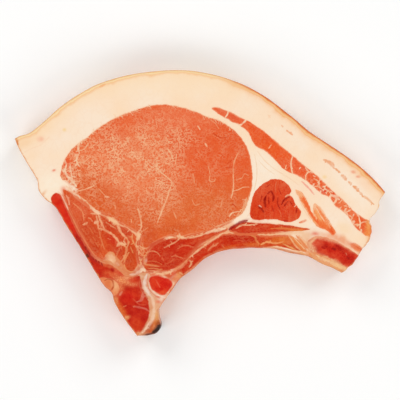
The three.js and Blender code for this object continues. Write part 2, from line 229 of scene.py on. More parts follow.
SHARED_SEAMS = [
    ([(-66.5, 8.4), (-64.2, 6.4), (-62, 4.6), (-59.6, 3)], 1.1, "#f3c6a2"),
    ([(-59.6, 3), (-57.3, 1.4), (-54.8, -1)], 0.6, "#efb488"),
    ([(-54.8, -1), (-53, -3), (-51.6, -4.5), (-49.6, -5.6)], 1.3, "#f3c39a"),
    ([(-49.6, -5.6), (-47.4, -6.4), (-45.4, -7.2)], 0.5, "#eba578"),
    ([(-46, -7), (-44, -8), (-42.3, -9.4), (-40.4, -10.8)], 1.9, "#f3c08e"),
    ([(-40.6, -10.6), (-38.6, -11.4), (-36.2, -12.2), (-34, -13.8)], 0.6, "#efae80"),
    ([(-34, -13.8), (-32.4, -14.9), (-31.2, -15.7)], 0.9, "#efb082"),
    ([(-31.2, -15.7), (-28.9, -12), (-29.5, -7), (-30.6, -2.4)], 0.7, "#f0b084"),
    ([(-30.8, -15.6), (-28.4, -14.2), (-25.8, -12.4)], 0.5, "#e99868"),
    ([(-30.2, -14.8), (-30.4, -16.8), (-31, -18.4)], 1.5, "#f2bd8e"),
    ([(-31, -18.2), (-31.6, -21.2), (-30.1, -24.2), (-30.4, -26.5), (-29.3, -29.2),
     (-28, -32)], 0.6, "#eaa676"),
    ([(-25.6, -22.8), (-26.1, -25.1), (-27.5, -26.9), (-29, -28.7), (-30.6, -31.5),
     (-31.8, -32.8)], 0.7, "#e8965f"),
    ([(-31.4, -20.8), (-30.8, -21.8), (-29.9, -21.4), (-28.4, -22.4),
     (-25.7, -22.6)], 0.6, "#eba676"),
    ([(-27.6, -27.9), (-27.3, -30.4), (-25, -31), (-20.1, -31.7)], 0.7, "#e38e5c"),
    ([(-30.4, -22), (-28.6, -23.4), (-27, -22.8), (-25.6, -23.6)], 0.5, "#e89a6a"),
    ([(-29.8, -24.6), (-28.2, -26.2), (-26.6, -26)], 0.5, "#e89a6a"),
    ([(-28.6, -20), (-27.6, -24), (-28.6, -27)], 0.5, "#e79564"),
    ([(-26, -24.8), (-23.6, -24), (-21, -24.8), (-19.4, -26.6)], 0.6, "#e28a5e"),
    ([(-17.8, -18.2), (-16, -17.4), (-13, -17)], 1.1, "#f3c39a"),
    ([(-13, -17), (-11, -17)], 0.5, "#e89a6c"),
    ([(-10.4, -18.4), (-9.6, -17), (-9.8, -15.4)], 0.6, "#f0b484"),
    ([(-11, -16.6), (-9.4, -17), (-7.2, -17.6)], 1.3, "#f2bd8e"),
    ([(-7.4, -17.4), (-4, -17.3), (-0.5, -16.6), (3.4, -15.2)], 0.8, "#efb184"),
    ([(3.4, -15.2), (6.8, -14), (10, -13.4), (13.4, -12.6)], 1.5, "#f4cba4"),
    ([(-9.6, -17.2), (-11.6, -19.4), (-14.4, -20.8), (-17.4, -22.4)], 0.7, "#e8966a"),
    ([(11.8, -15), (9.9, -16.5), (6, -19), (1.8, -22), (-1.6, -24.6),
     (-4.8, -27.2)], 1.0, "#efb184"),
    ([(-4.8, -27.2), (-7.2, -29.6), (-9.8, -31.8), (-13, -34)], 0.5, "#e38e5c"),
    ([(-13, -34), (-17, -35.2), (-21.6, -35.8)], 1.1, "#efb68c"),
    ([(-47, -26.6), (-45.4, -25.2), (-43.4, -24.9), (-41.8, -26.8)], 0.9, "#e39460"),
    ([(-41.8, -26.8), (-40, -28.8), (-38.4, -31.4), (-36.4, -34)], 1.1, "#df8450"),
]
LEAN_GAPS = [
    ([(9, -15), (4.2, -17.9), (-0.4, -20.5), (-3.9, -24), (-6.9, -27.9),
     (-10.2, -31)], 1.1, "#cd4a24"),
    ([(-26.9, -25.6), (-24.8, -21.9), (-20.6, -19.2), (-16.6, -17.7)], 1.5, "#cd4a22"),
    ([(-30.5, -25.4), (-30.3, -28), (-29.8, -30.4)], 1.4, "#cf5428"),
    ([(-28, -26.2), (-28.3, -28.6), (-28.4, -31)], 1.3, "#cf5428"),
    ([(-25.4, -34.3), (-22, -34.6), (-18.6, -34.6)], 0.7, "#c63a1a"),
    ([(-12.8, -35.4), (-10.8, -34.2), (-9, -32.9)], 1.3, "#d2542a"),
]
EYE_FRAY = [
    ([(-61, 29.4), (-56.5, 32.6), (-50, 37.8), (-42, 42.5), (-33, 46),
     (-23, 48.9)], 0.35, "#f4c49c"),
    ([(-16, 48.9), (-9, 48), (-4, 46.4), (4, 43.2), (12, 40.2), (17, 36.6)], 0.35, "#f4c49c"),
    ([(25, 4), (23.4, -1), (21.8, -4.2), (18.6, -7), (14, -9.6), (8, -12)], 0.4, "#ecaa7c"),
]
# A stain is (x, y, half length, half width, angle, colour, strength), a marbled zone the same
# without a colour.
EYE_STAINS = [
    (8, 26, 26, 24, -20, "#e35a2b", 0.85), (-8, 44, 24, 9, 5, "#ea7349", 0.7),
    (-2, -4, 34, 14, 8, "#dc6832", 0.85), (-50, 2, 20, 12, -40, "#db6028", 0.9),
    (-34, -5, 14, 8, -30, "#d8602c", 0.8), (-42, -9, 5, 1.6, -35, "#d2461e", 0.6),
    (-66.3, 18, 3.4, 7, 25, "#e4552c", 0.9), (-34, 18, 22, 20, 20, "#ec8152", 0.6),
    (-40, 40, 16, 5, 28, "#e66335", 0.6), (-26, -18, 6, 8, 0, "#cf4e20", 0.8),
    (-12, -12.6, 9, 3, 5, "#d2561e", 0.8), (-52, 4, 16, 9, -30, "#d85a24", 0.8),
]
MARBLED = [
    (-38, 22, 27, 15, 12, 1.0), (-20, 12, 12, 17, 0, 0.85), (-50, 24, 14, 10, 30, 0.9),
    (-16, 32, 12, 10, 0, 0.7), (-28, 7, 12, 8, 0, 0.7), (-64, 16, 8, 10, 0, 0.6),
]
# What a knife leaves on every piece: waves of its border (size, grain), the swell of cut lean
# and the dip of cut bone inside it, and the wandering of its border down the chop's side.
BORDER_WAVES = ((0.3, 3.4), (0.22, 1.1))
ROLL, SWELL, SWELL_REACH, DIP, RIM, DROP = 0.35, 0.68, 6.0, 0.4, 0.3, 0.18
SIDE_WANDER, SIDE_WAVE, SIDE_DEPTH, SIDE_LOOSE = 5.0, 0.45, 6.0, 8.0
SHARP_ANGLE = 55
# The mesh: rows down the side, steps along strokes and their fine lines, rows beside borders,
# the least gap in rows and to the border, and how much coarser the underside is.
WALL_ROWS = 22
STROKE_STEP, FINE_STEP = 0.32, 0.12
BORDER_ROWS = (-0.9, -0.45, 0.45, 0.9)
ROW_GAP, RING_GAP = 0.2, 0.24
UNDERSIDE_SPACING = 1.5
# What the materials read: how far in mm the distances to a seam and to the side are kept, the
# fat that counts as a seam, and the width of the rind on the side.
MARK_REACH, SEAM_FAT, RIND_SIDE = 12.0, 1.7, 0.8
laid = {}


def linear(code):
    """An sRGB hex colour as linear red, green, blue and 1."""
    parts = [int(code[i : i + 2], 16) / 255 for i in (1, 3, 5)]
    return (*(c / 12.92 if c <= 0.04045 else ((c + 0.055) / 1.055) ** 2.4 for c in parts), 1.0)


def stroke_cover(points, strokes):
    """How far each point lies in the nearest stroke, 1 on its middle line and 0.5 at its edge,
    and that stroke's colour. A stroke is (points, width in mm, colour), thinner at its ends."""
    cover, colour = np.full(len(points), -9.0), np.full((len(points), 4), 0.5)
    for line, width, code in strokes:
        middle = smooth_line(line, FINE_STEP)
        along = np.linspace(-1, 1, len(middle))
        swollen = [1 + 0.5 * noise.noise(Vector((x / 1.6, y / 1.6, 2.5))) for x, y in middle]
        half = width / 2 * (1 - 0.55 * np.abs(along) ** 3) * np.array(swollen)
        low, high = middle.min(0) - width - 1.5, middle.max(0) + width + 1.5
        near = np.flatnonzero(((points > low) & (points < high)).all(1))
        if len(near):
            apart = np.linalg.norm(points[near, None] - middle[None], axis=2)
            own = (1 - apart / (2 * half)).max(1)
            better = own > cover[near]
            cover[near[better]] = own[better]
            colour[near[better]] = linear(code)
    return np.maximum(cover, 0), colour


def stain_cover(points, stains):
    """The colour and strength of the soft stains at each point, a later one over an earlier.
    A stain is (x, y, half length, half width, angle, colour, strength)."""
    colour = np.zeros((len(points), 4))
    for x, y, long, short, angle, code, strength in stains:
        turn = math.radians(angle)
        dx, dy = (points - np.array([x, y]) * DRAWN_TO_MM).T
        u = (dx * math.cos(turn) + dy * math.sin(turn)) / long
        v = (dy * math.cos(turn) - dx * math.sin(turn)) / short
        share = strength * np.exp(-((u * u + v * v) ** 1.5))
        total = share + colour[:, 3] * (1 - share)
        weight = np.where(total > 1e-6, share / np.maximum(total, 1e-6), 0)
        weight = np.where(colour[:, 3] < 1e-4, 1, weight)[:, None]
        colour[:, :3] = colour[:, :3] * (1 - weight) + np.array(linear(code))[:3] * weight
        colour[:, 3] = total
    return colour


def beside(line, offset):
    """The line moved sideways by that much."""
    ahead = np.gradient(line, axis=0)
    across = np.stack([-ahead[:, 1], ahead[:, 0]], 1) / np.linalg.norm(ahead, axis=1)[:, None]
    return line + offset * across


def feathered(strokes, apart, reach):
    """The strokes and short thin threads off them, about that far apart and that long in mm, as
    the fat of a seam creeps in between the bundles beside it."""
    threads = []
    for line, width, code in strokes:
        middle = smooth_line(line, STROKE_STEP) / DRAWN_TO_MM
        for before, at, after in zip(middle, middle[1:], middle[2:]):
            if rng.random() < STROKE_STEP / apart:
                turn = math.atan2(*(after - before)[::-1])
                turn += rng.choice([-1, 1]) * rng.uniform(0.4, 1.2)
                long, bend = rng.uniform(0.35, 1) * reach / 2, rng.uniform(-0.6, 0.6)
                knee = at + long * np.array([math.cos(turn), math.sin(turn)])
                tip = knee + long * np.array([math.cos(turn + bend), math.sin(turn + bend)])
                threads.append(([at, knee, tip], min(0.5, 0.6 * width), code))
    return [*strokes, *threads]


def mesh_rows(strokes, loops):
    """Points along and beside the strokes and loops, so that the mesh can hold their edges."""
    rows = [beside(line, offset) for line in loops for offset in BORDER_ROWS]
    for line, width, _ in strokes:
        rows += [beside(smooth_line(line, STROKE_STEP), width * side) for side in (-1, 0, 1)]
    cells = {}
    for x, y in np.vstack([edge_rows, *rows]).tolist():
        cells.setdefault((round(x / ROW_GAP), round(y / ROW_GAP)), (x, y))
    return np.array(list(cells.values()))


def on_tissue(points, loop, over):
    """Which points lie on the chop, in that loop if there is one, and in none of the others."""
    found = inside(points, chop_outline)
    if loop is not None:
        found &= inside(points, loop)
    for other in over:
        found[found] = ~inside(points[found], other)
    return found


def triangulated(points, edges):
    """The constrained triangulation: its points, its triangles, and where each given point is."""
    made, _, faces, origins, _, _ = delaunay_2d_cdt([Vector(p) for p in points], edges, [], 0, 1e-6)
    made, faces = np.array([tuple(p) for p in made]), np.array(faces)
    a, b, c = (made[faces[:, k]] for k in range(3))
    turned = (b - a)[:, 0] * (c - a)[:, 1] < (b - a)[:, 1] * (c - a)[:, 0]
    faces[turned] = faces[turned][:, ::-1]
    return made, faces, {origin: i for i, sources in enumerate(origins) for origin in sources}


def tissue_border(loop, over):
    """The corners of a tissue's border, and its sides (from, to, whether it is the chop's side)."""
    loops = [chop_outline, *over] + ([] if loop is None else [loop])
    edges, start = [], 0
    for line in loops:
        edges += [(start + i, start + (i + 1) % len(line)) for i in range(len(line))]
        start += len(line)
    made, faces, _ = triangulated(np.vstack(loops), edges)
    middles = made[faces].mean(1)
    own = on_tissue(middles, loop, over)
    off = ~inside(middles, chop_outline)
    beyond = {}
    for face, is_own, is_off in zip(faces.tolist(), own, off):
        for k in range(3):
            beyond[face[k], face[(k + 1) % 3]] = is_own, is_off
    sides = []
    for (a, b), (is_own, _) in beyond.items():
        other_own, other_off = beyond.get((b, a), (False, True))
        if is_own and not other_own:
            sides.append((a, b, other_off))
    used = sorted({i for a, b, _ in sides for i in (a, b)})
    index_of = {corner: i for i, corner in enumerate(used)}
    return made[used], [(index_of[a], index_of[b], side) for a, b, side in sides]


def scattered(ring, belongs, spacing, extra):
    """Points inside a border, on a staggered grid a little out of true, and the extra ones."""
    low, high = ring.min(0), ring.max(0)
    x, y = np.meshgrid(
        np.arange(low[0], high[0], spacing), np.arange(low[1], high[1], spacing * 0.87)
    )
    x[1::2] += spacing / 2
    grid = np.stack([x.ravel(), y.ravel()], 1)
    grid += rng.uniform(-0.16, 0.16, grid.shape) * spacing
    grid = np.vstack([grid[distance(grid, tree_of(extra)) > 0.6 * spacing], extra])
    return grid[belongs(grid)]


def cut_piece(name, tissue, outline, materials, spacing=0.42, strokes=(), stains=(), zones=()):
    """The closed mesh of one tissue, from the upper cut face to the lower, in place of its
    solid. The tissues laid before it keep their ground."""
    loop = None
    if outline:
        loop = smooth_line(outline, BORDER_STEP, closed=True)
        for size, grain in BORDER_WAVES:
            loop = ragged(loop, size, grain)
    own_ground = chop_outline if loop is None else loop
    low, high = own_ground.min(0), own_ground.max(0)
    over = [o for o in laid.values() if (o.max(0) > low).all() and (o.min(0) < high).all()]
    ring, border = tissue_border(loop, over)
    if loop is not None:
        laid[name] = loop
    edges = [(a, b) for a, b, _ in border]
    ring_tree = tree_of(np.vstack([ring, [(ring[a] + ring[b]) / 2 for a, b in edges]]))
    meets = [(ring[a], ring[b], (ring[a] + ring[b]) / 2) for a, b, side in border if not side]
    seam_tree = tree_of(np.vstack(meets))
    sheets = []
    for step in (spacing, spacing * UNDERSIDE_SPACING):
        extra = mesh_rows(strokes, over if tissue == "fat" else ())
        fill = scattered(ring, lambda p: on_tissue(p, loop, over), step, extra)
        fill = fill[distance(fill, ring_tree) > RING_GAP]
        made, faces, place = triangulated(np.vstack([ring, fill]), edges)
        faces = faces[on_tissue(made[faces].mean(1), loop, over)]
        sheets.append((made, faces, [place[i] for i in range(len(ring))]))
    (upper, upper_faces, upper_ring), (lower, lower_faces, lower_ring) = sheets
    flat = np.vstack([upper, lower])
    seam, rim = distance(flat, seam_tree), distance(flat, rim_tree)

    # The upper face has the slow roll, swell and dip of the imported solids.
    x, y = flat.T
    swell = 1 - np.exp(-seam / SWELL_REACH)
    height = THICKNESS + ROLL * np.sin(x / 19 + 0.8) * np.cos(y / 15 - 0.4)
    if tissue == "lean":
        height += SWELL * swell - DROP
    elif tissue == "bone":
        height += RIM * np.exp(-(((seam - 0.6) / 0.5) ** 2)) - DIP * swell - DROP
    else:
        height -= DROP * np.exp(-seam / 0.9)
    height -= LOBE_DROP * np.exp(-(np.linalg.norm(flat - LOBE_TIP, axis=1) / LOBE_REACH) ** 2)
    height -= rounding(rim)
    below = slice(len(upper), None)
    height[below] = rounding(rim[below]) + 0.12 * np.exp(-seam[below] / 0.7)
    faces = upper_faces.tolist() + (lower_faces[:, ::-1] + len(upper)).tolist()
    cut_count = side_count = len(faces)

    # The chop's side is in rows from the upper edge to the lower one, with a little wave, and
    # each tissue wanders a little along it on its way down, with the borders just behind it.
    columns, side_points, side_drawn, side_heights, side_rim = {}, [], [], [], []
    shares = np.linspace(0, 1, WALL_ROWS + 2)[1:-1]
    depth = distance(ring, rim_tree)
    for i in np.flatnonzero(depth < SIDE_DEPTH).tolist():
        top, bottom = upper_ring[i], lower_ring[i] + len(upper)
        first = len(flat) + len(side_points)
        columns[i] = [top, *range(first, first + WALL_ROWS), bottom]
        loose = min(1, rind_ends.find((*ring[i], 0))[2] / SIDE_LOOSE)
        for share in shares:
            bulge = (1 - depth[i] / SIDE_DEPTH) * math.sin(math.pi * share)
            shift = SIDE_WANDER * bulge * loose * noise.noise(Vector((*ring[i] / 9, share * 1.6)))
            wave = noise.noise_vector(Vector((*ring[i] / 6, share * 4)))
            side_points.append(slid(ring[i], shift) + SIDE_WAVE * bulge * np.array(wave)[:2])
            side_drawn.append(ring[i])
            side_rim.append(depth[i])
            side_heights.append(height[top] * (1 - share) + height[bottom] * share)
    for a, b, side in sorted(border, key=lambda part: not part[2]):
        if a in columns and b in columns:
            faces += [
                [columns[b][k], columns[a][k], columns[a][k + 1], columns[b][k + 1]]
                for k in range(WALL_ROWS + 1)
            ]
        else:
            down = columns.get(a, [upper_ring[a], lower_ring[a] + len(upper)])
            up = columns.get(b, [upper_ring[b], lower_ring[b] + len(upper)])[::-1]
            faces.append([*down, *up])
        if side:
            side_count = len(faces)
    drawn, edge_marks = flat, np.ones(len(flat))
    if side_points:
        fall = np.tile(np.exp(-6 * np.sin(math.pi * shares)), len(columns))
        edge_marks = np.concatenate([edge_marks, fall])
        flat, drawn = np.vstack([flat, side_points]), np.vstack([flat, side_drawn])
        height = np.concatenate([height, side_heights])
        seam = np.concatenate([seam, distance(np.array(side_drawn), seam_tree)])
        rim = np.concatenate([rim, side_rim + 0.6 * (1 - fall)])

    mesh = bpy.data.meshes.new(name + "_cut")
    mesh.from_pydata((np.column_stack([flat - chop_middle, height]) / 1000).tolist(), [], faces)
    mesh.shade_smooth()
    mesh.set_sharp_from_angle(angle=math.radians(SHARP_ANGLE))
    for material in materials:
        mesh.materials.append(material)
    if len(materials) > 1:
        number_of = np.zeros(len(faces), np.int32)
        middles = np.array([flat[f].mean(0) for f in faces[cut_count:side_count]])
        number_of[cut_count:side_count] = distance(middles, rind_tree) < RIND_SIDE
        mesh.polygons.foreach_set("material_index", number_of)
    cover, stroke_colour = stroke_cover(drawn, strokes)
    stain = stain_cover(drawn, stains)
    if tissue == "fat":
        cover *= edge_marks
        stain[:, 3] *= 0.3 + 0.7 * edge_marks
    marbled = stain_cover(drawn, [(*place, "#ffffff", share) for *place, share in zones])[:, 3]
    amounts = {
        "seam": np.minimum(seam, MARK_REACH), "side": np.minimum(rim, MARK_REACH),
        "cage": np.full(len(drawn), MARK_REACH), "stroke": cover, "zone": marbled,
    }
    amounts["cage"][rim < 2] = distance(drawn[rim < 2], cage_tree)
    if tissue == "fat":
        open_fat = tree_of(drawn[seam > SEAM_FAT])
        amounts["squeeze"] = np.clip((distance(drawn, open_fat) - 1.5) / 1.5, 0, 1)
        amounts["rind_depth"] = np.minimum(distance(drawn, rind_tree), 30)
    for label, data in amounts.items():
        layer = mesh.attributes.new(label, "FLOAT", "POINT")
        layer.data.foreach_set("value", data.astype(np.float32))
    for label, data in (("stroke_colour", stroke_colour), ("stain", stain)):
        layer = mesh.attributes.new(label, "FLOAT_COLOR", "POINT")
        layer.data.foreach_set("color", data.astype(np.float32).ravel())
    piece = bpy.data.objects.new(name + "_cut", mesh)
    bpy.context.scene.collection.objects.link(piece)
    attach(piece, "root")
    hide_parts(name)


# Patterns are measured in mm across the cut face, 1000 to the metre, and drawn out along the
# thickness, as fibres and fat run. COLOURS are the settings of a mix of two colours.
ACROSS, ALONG = 1000, 130
COLOURS = {"out": 2, "data_type": "RGBA"}


def plugged(tree, node, inputs):
    """Links each input of the node to the output given for it, or sets it to the value."""
    for socket, value in dict(inputs).items():
        if isinstance(value, bpy.types.NodeSocket):
            tree.links.new(value, node.inputs[socket])
        else:
            node.inputs[socket].default_value = value


def add(tree, kind, inputs=(), out=0, **settings):
    """Adds a node to a material with its settings and links, and gives its output."""
    made = tree.nodes.new("ShaderNode" + kind)
    for key, value in settings.items():
        setattr(made, key, value)
    plugged(tree, made, inputs)
    return made.outputs[out]


def span(low, high, to_low=0.0, to_high=1.0):
    """The inputs that map values from low to high onto those from to_low to to_high."""
    return {"From Min": low, "From Max": high, "To Min": to_low, "To Max": to_high}


def patches(tree, where, size, detail, mapping, roughness=0.5):
    """Soft uneven patches about `size` mm across, their values mapped as given."""
    noisy = {"Vector": where, "Scale": 1 / size, "Detail": detail, "Roughness": roughness}
    return add(tree, "MapRange", {"Value": add(tree, "TexNoise", noisy), **mapping})


def started(name):
    """A new material of that name, its nodes, its shader, and the place in mm, drawn out
    along the slice's thickness, as fibres and fat run."""
    material = bpy.data.materials.new(name)
    material.use_nodes = True
    tree = material.node_tree
    where = add(tree, "TexCoord", out="Object")
    where = add(tree, "VectorMath", {0: where, 1: (ACROSS, ACROSS, ALONG)}, operation="MULTIPLY")
    return material, tree, tree.nodes["Principled BSDF"], where


def in_the_round(tree, where):
    """The place in mm, no longer drawn out along the thickness."""
    return add(tree, "VectorMath", {0: where, 1: (1, 1, ACROSS / ALONG)}, operation="MULTIPLY")


def wandering(tree, where, size, reach):
    """The place, moved by up to about `reach` mm in soft waves `size` mm across."""
    waves = add(tree, "TexNoise", {"Vector": where, "Scale": 1 / size, "Detail": 2.0}, out="Color")
    moves = {0: waves, 1: (reach,) * 3, 2: where}
    return add(tree, "VectorMath", moves, operation="MULTIPLY_ADD")


def surfaced(tree, shader, colour, height, strength, depth, others):
    """Gives the shader its colour, a relief about `depth` mm deep, and its other values."""
    relief = {"Height": height, "Strength": strength, "Distance": depth / 1000}
    plugged(tree, shader, {"Base Color": colour, "Normal": add(tree, "Bump", relief), **others})


def marked(tree, where, colour, ragged_by=0.5):
    """The colour with the piece's strokes over it, their edges broken up, faint in places."""
    fray = add(tree, "TexNoise", {"Vector": where, "Scale": 1 / 0.8, "Detail": 2.0})
    stroke = add(tree, "Attribute", attribute_name="stroke", out="Fac")
    tint = add(tree, "Attribute", attribute_name="stroke_colour", out="Color")
    frayed = add(tree, "Math", {0: fray, 1: ragged_by, 2: stroke}, operation="MULTIPLY_ADD")
    middle = 0.5 + ragged_by / 2
    cover = add(
        tree, "MapRange",
        {"Value": frayed, **span(middle - 0.3, middle + 0.3)},
        interpolation_type="SMOOTHSTEP",
    )
    faint = patches(tree, in_the_round(tree, where), 2.4, 2.0, span(0.38, 0.6, 0.62, 1.0))
    cover = add(tree, "Math", {0: cover, 1: faint}, operation="MULTIPLY")
    return add(tree, "Mix", {0: cover, 6: colour, 7: tint}, **COLOURS), cover


def stained(tree, where, colour):
    """The colour with the piece's stains over it, a little uneven."""
    uneven = patches(tree, in_the_round(tree, where), 2.5, 3.0, span(0.3, 0.7, 0.7, 1.15))
    tint = add(tree, "Attribute", attribute_name="stain", out="Color")
    share = add(tree, "Attribute", attribute_name="stain", out="Alpha")
    share = add(tree, "Math", {0: share, 1: uneven}, operation="MULTIPLY", use_clamp=True)
    return add(tree, "Mix", {0: share, 6: colour, 7: tint}, **COLOURS)


def lined(tree, where, colour):
    """The colour with the thin wet skin over it that lines the rib cage: orange, with milky
    patches, and clear enough for what lies under it to show."""
    place = in_the_round(tree, where)
    milky = patches(tree, place, 5, 4.0, span(0.4, 0.62), roughness=0.6)
    tint = add(tree, "Mix", {0: milky, 6: linear("#dc7038"), 7: linear("#edb086")}, **COLOURS)
    clear = patches(tree, place, 9, 3.0, span(0.36, 0.62, 0.85, 0.4))
    cage = add(tree, "Attribute", attribute_name="cage", out="Fac")
    share = add(tree, "MapRange", {"Value": cage, **span(0.2, 1.4, 1.0, 0.0)})
    share = add(tree, "Math", {0: share, 1: clear}, operation="MULTIPLY")
    return add(tree, "Mix", {0: share, 6: colour, 7: tint}, **COLOURS)


def raw_lean(name, lean, deep, fat, flecks=0.3, streak=None, fringe=0.5):
    """Raw pork lean, knifed and wet: a fine grain of cut fibre ends, with worm-like threads of
    fat; where the fibres lie at a slant they show as streaks at the angle `streak`. `flecks` is
    how much fat lies outside the marbled zone, `fringe` how pale the skin at its border is."""
    material, tree, shader, where = started(name)
    tone = patches(tree, where, 10, 4.0, span(0.38, 0.64))
    colour = add(tree, "Mix", {0: tone, 6: linear(lean), 7: linear(deep)}, **COLOURS)
    colour = stained(tree, where, colour)

    # Grain of the cut fibre ends, 0.7 mm, coarser than the real 0.1 mm so that it shows.
    grain = {"Vector": where, "Scale": 1 / 0.7, "Detail": 3.0, "Roughness": 0.6}
    grain = add(tree, "TexNoise", grain)
    depth = add(tree, "MapRange", {"Value": grain, **span(0.3, 0.7, 1.16, 0.86)})
    colour = add(tree, "Gamma", {"Color": colour, "Gamma": depth})
    patch = patches(tree, where, 5, 2.0, span(0.36, 0.62))
    if streak is not None:
        # Streaks of fibres and the fat between them, about 5 mm long and 0.9 mm wide.
        along = {"Vector": where, "Rotation": (0, 0, math.radians(streak)), "Scale": (5, 0.9, 5)}
        along = add(tree, "Mapping", along, vector_type="TEXTURE")
        fibre = {"Vector": along, "Scale": 1.0, "Detail": 3.0, "Roughness": 0.6}
        fibre = add(tree, "TexNoise", fibre)
        depth = add(tree, "MapRange", {"Value": fibre, **span(0.32, 0.64, 1.1, 0.93)})
        colour = add(tree, "Gamma", {"Color": colour, "Gamma": depth})
        pale = add(tree, "MapRange", {"Value": fibre, **span(0.55, 0.74, 0.0, 0.2)})
        pale = add(tree, "Math", {0: pale, 1: patch}, operation="MULTIPLY")
        colour = add(tree, "Mix", {0: pale, 6: colour, 7: linear(fat)}, **COLOURS)

    # The threads of fat, 0.5 mm wide and about 1.5 mm apart, thickest in the marbled zone.
    worm = {"Vector": wandering(tree, where, 3, 2.2), "Scale": 1 / 1.4, "Roughness": 0.55}
    worm = add(tree, "TexNoise", worm)
    worm = add(tree, "Math", {0: worm, 1: 0.5}, operation="SUBTRACT")
    worm = add(tree, "Math", {0: worm}, operation="ABSOLUTE")
    worm = add(tree, "MapRange", {"Value": worm, **span(0.01, 0.1, 1.0, 0.0)})
    marbled = add(tree, "Attribute", attribute_name="zone", out="Fac")
    clump = add(tree, "MapRange", {"Value": patch, **span(0.0, 1.0, 0.5, 1.0)})
    marbled = add(tree, "Math", {0: marbled, 1: clump}, operation="MULTIPLY")
    share = add(tree, "Math", {0: marbled, 1: 0.06}, operation="MULTIPLY")
    colour = add(tree, "Mix", {0: share, 6: colour, 7: linear(fat)}, **COLOURS)
    seam = add(tree, "Attribute", attribute_name="seam", out="Fac")
    edge = add(tree, "MapRange", {"Value": seam, **span(0.0, 3.0, 1.1, 0.64)})
    speck = add(tree, "Math", {0: patch, 1: flecks}, operation="MULTIPLY")
    share = add(tree, "Math", {0: marbled, 1: edge, 2: speck}, operation="MULTIPLY_ADD")
    share = add(tree, "Math", {0: worm, 1: share}, operation="MULTIPLY", use_clamp=True)
    colour = add(tree, "Mix", {0: share, 6: colour, 7: linear(fat)}, **COLOURS)

    # The thin pale skin at the border, the film on the rib-cage side, and the drawn veins.
    torn = add(tree, "Math", {0: patch, 1: 0.4, 2: seam}, operation="MULTIPLY_ADD")
    skin = add(tree, "MapRange", {"Value": torn, **span(0.1, 0.75, fringe, 0.0)})
    colour = add(tree, "Mix", {0: skin, 6: colour, 7: linear(fat)}, **COLOURS)
    colour = lined(tree, where, colour)
    colour, cover = marked(tree, where, colour)

    height = add(tree, "Math", {0: share, 1: 0.5, 2: grain}, operation="MULTIPLY_ADD")
    height = add(tree, "Math", {0: cover, 1: 0.4, 2: height}, operation="MULTIPLY_ADD")
    wet = add(tree, "MapRange", {"Value": patch, **span(0.0, 1.0, 0.42, 0.34)})
    surfaced(tree, shader, colour, height, 0.55, 0.28, {
        "Roughness": wet, "IOR": 1.36, "Specular IOR Level": 0.13,
        "Coat Weight": 0.04, "Coat Roughness": 0.18,
    })
    return material


eye_lean = raw_lean("raw_loin_lean", "#e76632", "#e05827", "#f5bb8e", flecks=0.3, fringe=0.35)
muscle_seams = feathered(SHARED_SEAMS, 2.8, 1.7) + LEAN_GAPS
eye_strokes = EYE_VEINS + feathered(END_VEINS, 1.4, 2) + feathered(EYE_FRAY, 0.9, 2.6)
eye_strokes += muscle_seams
cut_piece("loin_eye", "lean", LOIN_EYE, [eye_lean], strokes=eye_strokes, stains=EYE_STAINS,
          zones=MARBLED)

